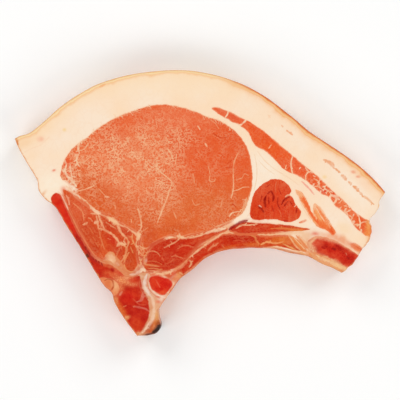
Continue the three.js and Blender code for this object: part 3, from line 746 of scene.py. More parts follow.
# The cover muscle
# A thin flat muscle over the eye, buried in the back fat: orange-red lean that fat seams cross,
# and towards the belly end a fine net of fat parts it into strands.
COVER_MUSCLE = [
    (6.4, 47.5), (9.5, 47.7), (15, 45.7), (21, 42.7), (26, 40.2), (31, 36.9), (36, 32.9),
    (41, 28.7), (46, 24.4), (52, 19.3), (58, 14.5), (63, 9.8), (68, 4.7), (73, 0.7), (78, -4.6),
    (82, -7.3), (88, -10.5), (89, -15.5), (84.4, -16.6), (81, -14.6), (78, -12.2), (75.5, -8),
    (72, -4.2), (68, -1.4), (65.6, 2.4), (61, 4.9), (56.6, 8.6), (52.4, 12), (48, 14.2),
    (44.4, 15.6), (40.4, 18.8), (36.5, 23), (32.6, 26.4), (28.6, 28.2), (26.5, 31.3), (25, 34.8),
    (21, 38.3), (17, 40.6), (12, 43.2), (8, 45.6),
]
COVER_SEAMS = [
    ([(14.6, 46.2), (14.2, 44.4), (13, 42.8)], 0.8, "#f6d2ae"),
    ([(23.6, 41.8), (22.4, 40.4), (20.6, 39), (19, 39.4)], 0.9, "#f6d2ae"),
    ([(46.8, 23.8), (46, 20.5), (46.2, 17), (46.8, 14.6)], 0.7, "#f4c8a0"),
    ([(43.6, 19), (43, 17)], 0.5, "#f3b88c"), ([(36, 29), (34.8, 27.4)], 0.5, "#f3b88c"),
    ([(53.2, 17.6), (54.6, 15.6), (53.4, 13.8), (53.4, 11.4)], 0.6, "#f4c49a"),
    ([(56.4, 15.8), (54.6, 15.4)], 0.5, "#f6cda6"),
    ([(57.5, 12.2), (59.2, 11.2), (60.2, 10)], 0.5, "#f3b88c"),
    ([(60.6, 12.2), (59.9, 10), (60.4, 7.8), (62, 6.6)], 0.6, "#f4c49a"),
    ([(60.4, 7.8), (58.6, 8.4), (57.2, 7.9)], 0.5, "#f3b88c"),
    ([(63.8, 9), (62.6, 7.8), (64, 6.2), (63.6, 4.6)], 0.6, "#f6cda6"),
    ([(64, 6.2), (65.6, 5), (65.8, 3)], 0.5, "#f3b88c"),
    ([(69.8, 4), (68, 3.4), (66, 3.8), (65.2, 2.4)], 1.1, "#f7d9b8"),
    ([(68, 3.4), (68.6, 2), (68.2, 0.6), (67.4, -0.4)], 0.8, "#f6cda6"),
    ([(71.4, 1.6), (70.2, 0)], 0.5, "#f3b88c"), ([(72.6, -1.4), (74, -1.8)], 0.6, "#f3b88c"),
    ([(73.6, -2.6), (72.8, -4.2), (74.2, -5.6), (73.6, -7.4)], 0.9, "#f6cda6"),
    ([(75, -6.2), (76.4, -7.2), (76, -9)], 0.8, "#f3bf94"),
    ([(79.8, -6), (80.2, -8.4), (80.6, -10.2), (80.3, -12.4)], 0.7, "#f6cda6"),
    ([(80.6, -10.2), (82, -9.6), (83.6, -9.4)], 0.6, "#f3b88c"),
    ([(80.5, -11.2), (79, -10.8), (77.8, -10.9)], 0.8, "#f3bf94"),
]
# Short bits of fat as (x, y, half run across, half run up, width), the notches in its borders
# first.
COVER_BITS = [
    (60.4, 5.2, 0.6, 0.9, 0.8), (64.9, 2.5, 0.6, 0.9, 0.8), (67.1, -0.4, 0.7, 0.9, 1.0),
    (73.2, -5.0, 0.9, 0.7, 1.0), (76.8, -10.0, 0.9, 0.9, 1.1), (80.9, -14.2, 0.2, 1.1, 0.9),
    (57.0, 8.8, 0.5, 0.8, 0.7), (70.4, -2.8, 0.6, 0.7, 0.8), (56.2, 15.7, -0.4, 0.7, 0.7),
    (60.6, 12.1, -0.4, 0.7, 0.7), (64.4, 8.8, -0.4, 0.7, 0.7), (69.2, 3.8, -0.4, 0.7, 0.8),
    (79.4, -5.8, -0.3, 0.8, 0.9), (75.0, -1.8, -0.4, 0.6, 0.7), (85.6, -10.2, -0.5, 0.8, 0.8),
    (59.9, 9.9, 0.5, -0.3, 0.6), (62.4, 8.3, 0.5, 0.2, 0.7), (62.3, 6.5, 0.3, 0.4, 0.6),
    (69.4, 2.2, 0.9, -0.5, 0.8), (75.0, -3.9, 0.6, 0.4, 0.7), (77.2, -6.0, 0.2, 0.5, 0.6),
    (50.4, 17.4, 0.3, 0.4, 0.5), (57.6, 13.4, 0.4, -0.2, 0.5), (66.2, 5.6, 0.4, -0.3, 0.6),
]
COVER_STAINS = [
    (15, 44.5, 9, 3, -25, "#e57350", 0.6), (50, 17, 9, 5, -42, "#e85a2c", 0.8),
    (74, -1.5, 7, 4, -45, "#ec7440", 0.8), (85.2, -12, 2.2, 6, 0, "#f09a52", 0.9),
    (62, 6, 2.2, 1.6, 0, "#de3a1c", 0.8), (52.8, 17.6, 0.8, 1.2, 0, "#d8401c", 0.8),
    (84, -15.5, 2, 1.4, 0, "#f08a40", 0.8),
]
cover_lean = raw_lean("raw_strip_lean", "#e95e28", "#e4541f", "#f6c8a0", flecks=0.1, streak=-42)
cut_piece("cover_muscle", "lean", COVER_MUSCLE, [cover_lean], stains=COVER_STAINS,
          zones=[(66, 2, 22, 9, -42, 0.22)],
          strokes=feathered(COVER_SEAMS, 4.5, 1.2)
          + [([(x - a, y - b), (x + a, y + b)], w, "#f5ceab") for x, y, a, b, w in COVER_BITS])

# The round muscle
# The end of a round, much used muscle beside the eye, so the darkest red lean of all, with
# open slits between its bundles, in a sleeve of white fat.
ROUND_MUSCLE = [
    (25.4, -5), (26, 0), (27.6, 5), (31, 9), (35, 11.2), (38.5, 12.1), (42.4, 10.8), (45.3, 8),
    (46.1, 5.6), (45.2, 4), (46.8, 2.8), (48, 0), (49.6, -2.2), (50.9, -4.6), (50, -7.7),
    (47, -9.3), (43, -9.4), (38.6, -8.2), (33.6, -8.2), (29, -8.5), (26.2, -7.7),
]
ROUND_SLITS = [
    ([(33.5, 3.8), (32.7, 1), (33.2, -2)], 1.1, "#960a02"),
    ([(34.2, 4.6), (35.6, 5.8)], 0.8, "#a61606"), ([(31.4, 3.6), (30.8, 0.8)], 0.7, "#ac1a08"),
    ([(36, 6), (37.2, 3.4), (36.8, 0.6)], 1.0, "#9e1004"),
    ([(34.8, 2.6), (34.9, -0.4)], 0.7, "#a61606"),
    ([(39.4, 2.8), (39.2, -0.2), (40.2, -2.6)], 0.7, "#a81a08"),
    ([(36.4, -1.4), (37.2, -4.2)], 0.6, "#b02008"), ([(33.8, 8), (35.2, 9.2)], 0.5, "#b82410"),
    ([(39.8, 7), (41, 4.2)], 0.5, "#b82410"),
    ([(29.6, -1.6), (31, -2.8), (32.3, -4.6)], 1.2, "#960a02"),
    ([(41.2, -0.8), (42.6, 1.6), (45, 3)], 0.9, "#9e1004"),
    ([(42.6, -1.4), (44.4, 0.8)], 0.8, "#a41406"), ([(45.4, 0.8), (46.8, -1.4)], 0.6, "#ac1a08"),
    ([(48.9, -2.6), (48.5, -4.8)], 1.0, "#b01c0a"), ([(42.3, -8.9), (44.3, -8.9)], 0.8, "#ac1a08"),
    ([(30, -1.2), (31.1, -2)], 0.6, "#f4b99c"),
    ([(38.6, 10.6), (38, 7.5), (38.4, 5.4)], 0.4, "#e27049"),
    ([(39.8, -3.4), (40.8, -5.4), (41, -7)], 0.4, "#e06a40"),
    ([(45.6, 4), (44.2, 3.9), (43.2, 3)], 0.7, "#f0b088"),
    ([(47.8, -1.8), (48.6, -0.9)], 0.7, "#f2c19c"),
]
ROUND_STAINS = [
    (40, -1, 9, 7, 0, "#da3a18", 0.7), (31, 6, 6, 5, 30, "#dd5530", 0.7),
    (44, 8, 4, 4, 0, "#dc4c28", 0.6),
]
round_lean = raw_lean("raw_dark_lean", "#dc4a20", "#d23a12", "#e88a60", flecks=0.2, streak=80,
                      fringe=0.3)
cut_piece("round_muscle", "lean", ROUND_MUSCLE, [round_lean], strokes=ROUND_SLITS,
          stains=ROUND_STAINS)

# The flank muscle
# Two pale strips of belly muscle that join in a fork, cut along their fibres, so they are
# streaked and a lighter orange than the rest.
FLANK_MUSCLE = [
    (48.4, 6.8), (51, 5.4), (53.5, 2.4), (55.2, -1.6), (56.4, -4.6), (57.3, -5.2), (56.9, -2.6),
    (57.4, -0.3), (59, -0.9), (61.2, -3.4), (63.8, -7), (66.4, -11.2), (68.2, -14.6), (67, -16.2),
    (63.4, -13.6), (59.6, -12), (56.4, -8.4), (53.4, -3.6), (50.8, 0.6),
]
FLANK_STREAKS = [
    ([(52, 3), (54.4, -1.5), (57, -6.5), (60, -10.4)], 1.5, "#ef6a35"),
    ([(59, -2), (62, -6.6), (65, -12)], 1.6, "#f28850"),
    ([(58.2, -3.4), (60, -7), (61.4, -9)], 0.9, "#f5a565"),
    ([(56.8, -8.6), (58.6, -11)], 1.2, "#f2a060"), ([(50, 5.4), (51.6, 2.8)], 0.9, "#f5ab74"),
    ([(48.8, 6), (50.9, 0.9), (53.6, -3.6), (56.6, -8.3), (60, -11.9)], 0.7, "#f4b384"),
    ([(49.4, 6.2), (51.6, 4.4), (53.8, 1.6), (55.2, -1.8)], 0.6, "#f5b78a"),
    ([(57.2, -0.8), (59, -1.4), (61.2, -3.9), (63.6, -7.4), (65.8, -11)], 0.8, "#f5bb90"),
    ([(56.6, -4.2), (57.6, -6.2), (59, -7.8)], 0.8, "#f6bd8e"),
    ([(58.6, -2.4), (60.6, -6), (63, -9.6)], 0.5, "#f7c79c"),
    ([(63, -8), (65.6, -12.4)], 0.5, "#f4a878"),
]
FLANK_STAINS = [
    (66, -14.4, 2.8, 2.2, -50, "#e9602e", 0.8), (59, -5, 3, 3, 0, "#f39a5c", 0.6),
    (49.6, 5.2, 3, 1.6, -55, "#f5b888", 0.9), (58.2, -1.8, 2.6, 1.8, -40, "#f6be92", 0.9),
]
flank_lean = raw_lean("raw_pale_lean", "#ed7238", "#f08446", "#f8c898", flecks=0.1, streak=-58,
                      fringe=0.3)
cut_piece("flank_muscle", "lean", FLANK_MUSCLE, [flank_lean], stains=FLANK_STAINS,
          strokes=feathered(FLANK_STREAKS, 2.2, 1.6))

# The vertebra
# The backbone sawn through: its spine along the saw cut and its body below, both spongy bone
# full of red marrow, with a thin pale hard rim and blood in the pits that the saw opened.
VERTEBRA = [
    (-73.8, 3.2), (-71.6, 5.2), (-69.6, 4.2), (-68, 1.2), (-65, -5.8), (-61.9, -12.4),
    (-58.2, -19.1), (-55, -24.2), (-51.7, -28.1), (-47.5, -30), (-43.5, -31.4), (-40, -34),
    (-37, -36.3), (-33.5, -37), (-30, -36.2), (-29.2, -38), (-29.6, -41.2), (-27.9, -45.2),
    (-25.7, -48.2), (-24.8, -51.5), (-25.2, -57), (-27.4, -61.8), (-30.8, -66.4), (-34, -70),
    (-47, -51), (-43.8, -47.4), (-41.2, -45.6), (-40, -42.6), (-41.2, -39.6), (-44.5, -38),
    (-48, -37.3), (-54, -39), (-62, -25), (-71, -10), (-74.6, -4.5), (-73.6, -0.6),
]
BONE_LINES = [
    ([(-28.6, -42), (-28, -44), (-28.6, -46.4), (-29.2, -48)], 0.7, "#dd7a5e"),
    ([(-38.5, -44.4), (-39.8, -46)], 0.9, "#e08a6a"),
    ([(-33, -48), (-30, -50.6), (-26.6, -51)], 0.6, "#cf4a2c"),
    ([(-59.4, -16.9), (-58.9, -18.2)], 0.5, "#9a1206"),
    ([(-56.9, -21.2), (-56.2, -22.4), (-55.5, -23.2)], 0.8, "#8e0e05"),
    ([(-55.6, -23.8), (-54.6, -25.4)], 0.9, "#98120a"),
    ([(-56.4, -25.8), (-55.7, -27.2)], 0.9, "#6a2a0c"),
    ([(-53.1, -26.6), (-52.8, -28.2)], 0.5, "#94140a"),
    ([(-51.7, -27.6), (-51.3, -29.2)], 0.5, "#94140a"),
    ([(-50.2, -28.8), (-49.9, -30)], 0.45, "#98140a"),
    ([(-48.9, -29.9), (-48.3, -31.2)], 0.5, "#98140a"),
    ([(-53.8, -29.6), (-53, -31)], 0.5, "#8c160a"),
    ([(-43.9, -32.8), (-43, -34.2)], 1.0, "#ae1404"),
    ([(-37.8, -51.8), (-36.6, -51.4)], 0.6, "#dd7048"),
    ([(-32.8, -52), (-32, -51.4)], 0.6, "#dd7048"),
    ([(-28, -40.6), (-27.6, -44.4), (-28.6, -48.2), (-31.4, -49.6)], 0.9, "#d9745e"),
    ([(-33, -51.6), (-29.6, -52.2), (-26.6, -53), (-25, -54.2)], 0.9, "#cf6450"),
]
BONE_STAINS = [
    (-67, -6, 16, 3.4, -59, "#de280c", 0.9), (-71, 3, 3, 2, 40, "#e0391c", 0.8),
    (-58.5, -20, 6, 2.6, -58, "#b81405", 0.9), (-60.5, -18.5, 2.4, 0.9, -58, "#8f0d04", 0.8),
    (-56, -23, 2.2, 0.9, -45, "#8a0c05", 0.9), (-53.5, -27, 4, 2, -40, "#a81a08", 0.8),
    (-55.6, -26, 1.4, 0.8, -50, "#581206", 0.95), (-49.5, -30, 2.6, 1.4, -20, "#b02208", 0.7),
    (-48, -32, 5, 1.6, -20, "#c8300f", 0.8), (-44, -35.6, 4, 2, -10, "#de6a38", 0.8),
    (-43, -32.6, 4, 1.1, -30, "#df7442", 0.9), (-46.6, -31, 4, 1, -24, "#dc6c3a", 0.9),
    (-43.4, -33.4, 1.3, 1.1, 0, "#b01002", 1.0), (-45.6, -36, 1, 0.8, 0, "#cc3414", 0.8),
    (-36.5, -38.5, 6, 2.6, -12, "#f2a56c", 1.0), (-40.5, -42, 3, 4, 0, "#ee945e", 0.8),
    (-31, -38, 3.4, 1.6, 30, "#c02a10", 0.7), (-30, -54, 7, 5, 10, "#b81a0c", 0.8),
    (-35.5, -47, 4, 3, 0, "#cf1c0c", 0.8), (-27.4, -47, 2, 4, 20, "#cc4020", 0.6),
    (-39, -53.6, 5, 1.8, -60, "#de7030", 0.95), (-31.5, -62, 3.4, 4, -50, "#d2441a", 0.7),
    (-42, -49, 1.6, 3, 0, "#e8a060", 0.7), (-30, -65.4, 1.8, 1.2, 0, "#eab07a", 0.9),
    (-36.4, -57.6, 1, 2, -60, "#e9a566", 0.8), (-33, -38.7, 3, 1.5, 0, "#d4421e", 0.9),
    (-39.6, -35.2, 2.6, 1.2, -30, "#da5028", 0.8),
]


def sawn_bone(name, marrow, strut, rim, tan):
    """Fresh spongy bone, cut with a fine saw: marrow-red pits about 1 mm across between
    paler struts, a smooth pale hard rim, and a tan band along the chop's side that is painted shade
    of the sawn side seen at a slant."""
    material, tree, shader, where = started(name)
    where = in_the_round(tree, where)
    pits = patches(tree, where, 4, 4.0, span(0.36, 0.66), roughness=0.65)
    colour = add(tree, "Mix", {0: pits, 6: linear(marrow), 7: linear(strut)}, **COLOURS)
    colour = stained(tree, where, colour)
    cell = {"Vector": wandering(tree, where, 1.5, 1.0), "Scale": 1 / 1.1}
    cell = add(tree, "TexVoronoi", cell, feature="DISTANCE_TO_EDGE")
    line = add(tree, "MapRange", {"Value": cell, **span(0.0, 0.2, 0.5, 0.0)})
    colour = add(tree, "Mix", {0: line, 6: colour, 7: linear(strut)}, **COLOURS)
    depth = add(tree, "MapRange", {"Value": pits, **span(0.0, 1.0, 1.15, 0.88)})
    colour = add(tree, "Gamma", {"Color": colour, "Gamma": depth})
    seam = add(tree, "Attribute", attribute_name="seam", out="Fac")
    hard = add(tree, "MapRange", {"Value": seam, **span(0.1, 0.5, 0.45, 0.0)})
    colour = add(tree, "Mix", {0: hard, 6: colour, 7: linear(rim)}, **COLOURS)
    # A tan band along the chop's side: painted shade of the sawn side seen at a slant.
    side = add(tree, "Attribute", attribute_name="side", out="Fac")
    side_shade = add(tree, "Math", {0: pits, 1: 0.9, 2: side}, operation="MULTIPLY_ADD")
    side_shade = add(tree, "MapRange", {"Value": side_shade, **span(0.4, 1.25, 0.8, 0.0)})
    colour = add(tree, "Mix", {0: side_shade, 6: colour, 7: linear(tan)}, **COLOURS)
    colour = lined(tree, where, colour)
    colour, _ = marked(tree, where, colour)
    height = add(tree, "Math", {0: cell, 1: 0.8, 2: pits}, operation="MULTIPLY_ADD")
    gloss = {"Roughness": 0.42, "Specular IOR Level": 0.12}
    surfaced(tree, shader, colour, height, 0.5, 0.3, gloss)
    return material


marrow_bone = sawn_bone("sawn_red_marrow_bone", "#b91a06", "#cd3010", "#e08458", "#e88f4a")
cut_piece("vertebra", "bone", VERTEBRA, [marrow_bone], strokes=BONE_LINES, stains=BONE_STAINS)

# The spinal cord
# The soft cord and fat left in the backbone's canal when the saw went through it: a pale
# orange, slightly glossy oval open to the sawn side.
SPINAL_CORD = [
    (-39, -42.6), (-41.4, -47), (-45, -50), (-52, -46), (-54, -38.4), (-48, -36.6), (-43, -37),
]
CORD_RING = [
    ([(-47.2, -38.8), (-45.4, -38), (-43.4, -38.8), (-42.8, -41), (-43.6, -43.2),
     (-45.4, -44)], 0.9, "#bf4c1c"),
]
CORD_STAINS = [(-45.4, -40.8, 2.4, 2.2, -20, "#de7440", 1.0), (-41.6, -41, 2, 3, 0, "#eeac78", 0.9)]


def soft_tissue(name, pale, dark, patch, roughness):
    """Smooth wet tissue with no fibres, a little uneven in colour over `patch` mm."""
    material, tree, shader, where = started(name)
    tone = patches(tree, where, patch, 4.0, span(0.38, 0.62))
    colour = add(tree, "Mix", {0: tone, 6: linear(pale), 7: linear(dark)}, **COLOURS)
    colour = stained(tree, where, colour)
    colour = lined(tree, where, colour)
    colour, _ = marked(tree, where, colour)
    gloss = {"Roughness": roughness, "Specular IOR Level": 0.3}
    surfaced(tree, shader, colour, tone, 0.4, 0.2, gloss)
    return material


cord_tissue = soft_tissue("soft_cord_tissue", "#e98d58", "#df7642", 2.5, 0.36)
cut_piece("spinal_cord", "soft", SPINAL_CORD, [cord_tissue], strokes=CORD_RING,
          stains=CORD_STAINS)

# The rib head
# The small round end of the rib, set in a socket of gristle beside the backbone, and cut
# across too: bright red marrow in a thin pale rim.
RIB_HEAD = [
    (-24.9, -37.4), (-22.5, -36.2), (-18.5, -36.7), (-15, -38), (-13.4, -40.6), (-14.8, -43.6),
    (-17.2, -45.8), (-20.4, -45.4), (-23.2, -43.4), (-24.9, -40.6),
]
HEAD_LINES = [([(-21.6, -38.6), (-20.6, -40.4), (-19.6, -42.2)], 0.6, "#e25a3a")]
HEAD_STAINS = [
    (-17, -40.5, 4, 2.6, 10, "#d21c0c", 0.9), (-15.2, -41.4, 1.4, 1.2, 0, "#c81206", 0.9),
    (-22.8, -40, 1.4, 3, 0, "#dd4420", 0.8), (-18.6, -44.6, 2, 1, 20, "#e0461f", 0.8),
]
head_bone = sawn_bone("bright_marrow_bone", "#cf1f08", "#dc3a18", "#eca684", "#e8905c")
cut_piece("rib_head", "bone", RIB_HEAD, [head_bone], strokes=HEAD_LINES, stains=HEAD_STAINS)

# The gristle
# The joint's white gristle between backbone and rib, and the ligament that runs down from it
# to a free lobe, painted orange-brown and nearly black towards its tip as painted shade where
# the lobe curves down away.
GRISTLE = [
    (-29.6, -35.2), (-26.6, -34.9), (-25, -35.6), (-24, -37.5), (-23.6, -41), (-21, -44),
    (-17, -44.8), (-13, -46.6), (-15, -54), (-15, -70), (-29, -71), (-32, -67), (-29, -61),
    (-27, -56), (-27, -51), (-30, -46), (-31.5, -42), (-31.5, -38),
]
GRISTLE_LINES = [
    ([(-29.4, -38.4), (-29.2, -41.6), (-27.8, -45), (-25.8, -47.8)], 1.5, "#c63e1c"),
    ([(-26, -35.4), (-27, -38), (-27.3, -41), (-26, -44), (-23.8, -47)], 1.4, "#ebccb8"),
    ([(-23.8, -46.6), (-22.8, -50), (-22.6, -54), (-23.4, -58), (-25.6, -61.4),
     (-28.4, -64.8)], 1.7, "#eec3a2"),
    ([(-25.7, -36.6), (-26, -40), (-24.9, -43.4), (-22.4, -46), (-19.8, -47.6)], 0.5, "#d8745a"),
    ([(-24.6, -37.6), (-24.9, -40.4), (-23.7, -43.3), (-21, -45.8), (-17, -47.4)], 0.8, "#f4d2ba"),
    # These three lines darken the lobe towards its tip: painted shade where it curves down away.
    ([(-25.4, -61.4), (-24.6, -62.8)], 0.6, "#b8521c"),
    ([(-19.9, -61.6), (-20.4, -63), (-21.6, -64.1), (-23.4, -65)], 2.2, "#260b03"),
    ([(-23, -65.2), (-24.8, -65.7), (-26.8, -66)], 0.8, "#5a2208"),
]
GRISTLE_STAINS_AND_LOBE_SHADE = [
    (-18, -47.6, 3, 2, 30, "#f0cbb4", 0.9), (-20.8, -49.4, 1.6, 0.8, 0, "#e2613c", 0.8),
    (-20.4, -46.8, 1.2, 0.6, 0, "#e2512c", 0.7), (-21.5, -53, 1.4, 4, 0, "#eab083", 0.8),
    # The orange-brown to nearly black stains below y = -57 are painted shade where the lobe curves
    # down away; the others are the tissue's own colour.
    (-21.4, -57.4, 2.4, 3.4, 0, "#e29850", 0.9), (-22.8, -61.2, 4.2, 3, 20, "#de6e1e", 1.0),
    (-25, -64, 4, 1.8, -20, "#cc5010", 0.9), (-20.4, -61.5, 1.6, 2.6, 0, "#9a3e08", 0.9),
    (-19.3, -62, 0.9, 1.7, 0, "#4e1a04", 0.95), (-21.2, -63.8, 2.3, 1.3, 25, "#2a0b02", 1.0),
    (-24.4, -65.8, 3.4, 0.7, 4, "#5c1d06", 0.95), (-20, -63, 1, 1, 0, "#3a1004", 0.95),
    (-28, -40, 1.5, 1.7, 0, "#d88c74", 0.9), (-23, -50, 1.6, 2, 0, "#e29c76", 0.7),
    (-25.6, -62.2, 1.7, 3.2, -35, "#b8481a", 1.0),
]
gristle_tissue = soft_tissue("white_joint_gristle", "#e4ae8a", "#da9266", 3, 0.34)
cut_piece("gristle", "soft", GRISTLE, [gristle_tissue], strokes=GRISTLE_LINES,
          stains=GRISTLE_STAINS_AND_LOBE_SHADE)

# The rib end
# The rib's far end, cut at a slant: a long core of dark red marrow, wet with blood, in a
# thick pale wall of hard bone with a smooth skin on the rib-cage side.
RIB_END = [
    (54.5, -19), (57.6, -16.9), (62.4, -17), (68.5, -19), (74, -22.2), (79, -25.8), (84, -30),
    (76, -38), (68, -37), (60, -32.5), (56.4, -26.4), (54.5, -22.4),
]
RIB_WALL = [
    ([(60, -27.2), (64, -28.6), (69, -31.2), (74.4, -34), (78, -36)], 3.4, "#f0bd88"),
    ([(56, -25.4), (60, -29.4), (66, -31.6), (72, -34.6)], 3.2, "#e9a068"),
    ([(58.6, -26), (62, -28), (68, -30.6), (73, -33.2)], 0.7, "#f6cf9f"),
    ([(57.4, -24.6), (61.4, -26.6), (66, -28.6)], 0.8, "#e5915c"),
    ([(55.2, -24.6), (54.8, -21.6), (56.4, -18.6), (58.6, -17.2)], 2.2, "#ebae80"),
    ([(58, -17.2), (62.4, -16.8), (67, -18), (71.6, -20.2), (76, -22.8)], 2.4, "#e99c74"),
    ([(74, -27.2), (75.2, -28)], 0.6, "#8f0d04"), ([(73.4, -25), (73.9, -26.2)], 0.35, "#dc7c62"),
    ([(66.6, -22.6), (68.4, -23.4)], 1.3, "#9c1206"), ([(61.4, -22), (63, -22.8)], 0.9, "#b01a0a"),
]
RIB_STAINS = [
    (63, -29.6, 10, 2.8, -24, "#ecb488", 0.95), (56.4, -23.4, 2.4, 3.4, 10, "#eab284", 0.95),
    (63, -17.6, 9, 1.5, -12, "#e88f66", 0.9), (74.6, -22.6, 4, 1, -35, "#ea946a", 0.9),
    (68, -24.2, 9, 1.8, -30, "#c81a06", 0.85), (74.6, -27.4, 4.8, 2.6, -30, "#b60c02", 1.0),
    (70.2, -26.6, 3.4, 1.7, -30, "#c61606", 0.95), (66, -26.2, 6, 0.9, -28, "#dc4a28", 0.7),
    (70.4, -22.8, 4, 1.2, -35, "#a81206", 0.8), (63.4, -21.6, 2.4, 1, -20, "#a31608", 0.7),
    (58.6, -20, 3, 2, -10, "#de6444", 0.9),
]
rib_bone = sawn_bone("rib_marrow_bone", "#be1808", "#d63e1e", "#ecae84", "#e58a4c")
cut_piece("rib_end", "bone", RIB_END, [rib_bone], strokes=RIB_WALL, stains=RIB_STAINS)

# The back muscle
# The muscle that fills the corner between spine and eye: red lean that branching seams of fat
# part into bundles, broadest where they meet.
BACK_MUSCLE = [
    (-68.2, 6.6), (-65.6, 5.9), (-61.6, 2.4), (-57, -1.3), (-50, -5.8), (-42, -10.2),
    (-35.5, -13.6), (-31.6, -15.6), (-31.1, -20), (-31, -27), (-31.2, -31.5), (-33.4, -34.6),
    (-36.2, -34), (-38.2, -31.2), (-39.8, -28.6), (-42, -26.6), (-44, -24.6), (-46.2, -25.8),
    (-48.4, -28), (-51, -26.8), (-54, -23.2), (-57, -18.4), (-60.5, -11.8), (-63.6, -5.2),
    (-66.6, 1.6),
]
SEAM = "#eda679"
BACK_SEAMS = [
    ([(-66.4, 3.8), (-65.4, 1.6), (-64.8, -0.8)], 0.8, "#ee9a76"),
    ([(-62.8, -0.2), (-60.4, -2.2), (-58.4, -4.4), (-57.6, -8.5)], 0.6, "#e8895a"),
    ([(-58.2, -10.8), (-57, -10.6), (-55.7, -9.6)], 0.8, SEAM),
    ([(-55.3, -7.4), (-54.2, -8), (-53.4, -9.1)], 0.6, "#ea9466"),
    ([(-54.2, -5.2), (-51.2, -5.4)], 0.7, SEAM), ([(-52.2, -9.8), (-50.6, -9.4)], 1.3, "#f2ba90"),
    ([(-51.4, -6.4), (-50.8, -9.6), (-50.4, -12.4)], 1.0, SEAM),
    ([(-50.6, -5.7), (-49, -9.4), (-47.3, -13.2)], 0.9, SEAM),
    ([(-50.4, -12.6), (-47.3, -13.5), (-42.8, -16.3), (-39.5, -20.2)], 1.2, SEAM),
    ([(-50.2, -13), (-49, -18), (-47.3, -23)], 0.6, "#df7a4a"),
    ([(-42.6, -9.4), (-40.6, -11.3), (-39.5, -14), (-36.7, -17.4)], 1.3, SEAM),
    ([(-37.4, -16.8), (-35.9, -18), (-35.4, -20.2), (-36, -22.4)], 0.6, "#e89c6a"),
    ([(-36.9, -17.2), (-37.6, -19), (-36.4, -20.8)], 0.6, SEAM),
    ([(-41, -21.4), (-39.2, -20.3), (-37.2, -20.8)], 1.9, "#f0b486"),
    ([(-38.9, -20.6), (-36.4, -22.3), (-36.7, -25.4), (-38.3, -28.5),
     (-39.4, -29.8)], 0.9, "#e99c68"),
    ([(-35.1, -24.8), (-36.4, -26.8), (-37.6, -29.8)], 0.7, "#e8955e"),
    ([(-38.8, -22), (-40.6, -24.2), (-41.2, -26.6)], 0.6, "#dd7a4c"),
    ([(-37.6, -30.4), (-36.4, -33.2), (-33.9, -34.4), (-31.8, -33)], 0.6, "#e59660"),
    ([(-33.4, -15.4), (-33.4, -18), (-32.2, -21)], 0.7, "#e8965e"),
    ([(-34.4, -21.8), (-33, -25)], 0.5, "#e08850"),
    ([(-46.6, -9.6), (-44, -11.4), (-41.6, -12.8)], 0.6, "#e28a5c"),
    ([(-45.6, -17.6), (-44.2, -18.4)], 0.6, "#e27c50"),
    ([(-53, -17), (-52, -18.6)], 0.5, "#de7444"), ([(-58.6, -13), (-57.6, -14.4)], 0.5, "#de7444"),
    ([(-54.6, -12.6), (-53, -15.4)], 0.5, "#de7444"),
    ([(-51.8, -19.6), (-50.4, -22)], 0.5, "#de7444"),
]
BACK_STAINS = [
    (-60, -4, 8, 6, -55, "#dd5c34", 0.7), (-55, -15, 8, 5, -60, "#cb4820", 0.85),
    (-52, -22.4, 3.4, 2.4, -50, "#c63c14", 0.9), (-43.5, -18.5, 4, 2.4, -30, "#cc3216", 0.9),
    (-44, -22.6, 3, 2, 0, "#cb3d1a", 0.7), (-40, -23.6, 2.6, 2, 0, "#c83c1a", 0.8),
    (-35.5, -11.5, 4, 1.8, -25, "#cf3a1c", 0.9), (-36, -14.6, 3, 2, 0, "#c93c1c", 0.8),
    (-34.4, -27, 3, 6, 0, "#c8441a", 0.95), (-35.6, -19, 0.8, 1, 0, "#cf301a", 0.8),
    (-44.5, -12.5, 4, 2, -35, "#cb4420", 0.8), (-34, -33, 3, 1.6, 10, "#c9471a", 0.8),
]
back_lean = raw_lean("raw_back_lean", "#d85424", "#ce4518", SEAM, flecks=0.2, streak=-62,
                     fringe=0.25)
cut_piece("back_muscle", "lean", BACK_MUSCLE, [back_lean], stains=BACK_STAINS,
          strokes=feathered(BACK_SEAMS, 3.2, 1.5) + muscle_seams)

# The inner muscle
# The long muscle under the eye, on the inside of the ribs: deep red lean in flat bundles,
# with thin seams that run along it.
INNER_MUSCLE = [
    (-26.3, -29.8), (-25.6, -25.6), (-23.6, -22.3), (-19.5, -19.7), (-15, -18), (-10, -18.1),
    (-4, -17.2), (3, -15.6), (9, -13.9), (13.6, -12.9), (9.5, -15.3), (4.5, -17.8), (0, -20.3),
    (-3.5, -23.8), (-6.5, -27.6), (-10, -30.8), (-13, -32.9), (-17.5, -33.9), (-22.5, -33.6),
    (-26.5, -33.4), (-27.6, -31.6),
]
INNER_SEAMS = [
    ([(-10.6, -22.8), (-7.4, -21.2), (-4.4, -21.6), (-1.4, -22.8)], 0.6, "#dd7048"),
    ([(-14, -27), (-12, -26.4), (-9, -27.4), (-6.4, -27.6)], 0.5, "#dd7048"),
    ([(-17, -30.4), (-14.6, -29.6), (-12.6, -28)], 0.5, "#d9633c"),
    ([(-25.6, -32.6), (-22, -32.8), (-19, -33.4)], 0.6, "#dc7c4a"),
    ([(-26.4, -29.4), (-23.6, -29), (-20.6, -29.6), (-18.6, -30.8)], 0.4, "#d96a3c"),
    ([(-18.6, -27), (-17.6, -29)], 0.8, "#da5c38"),
    ([(-11.8, -25.8), (-10.8, -27)], 0.5, "#dc6a44"),
]
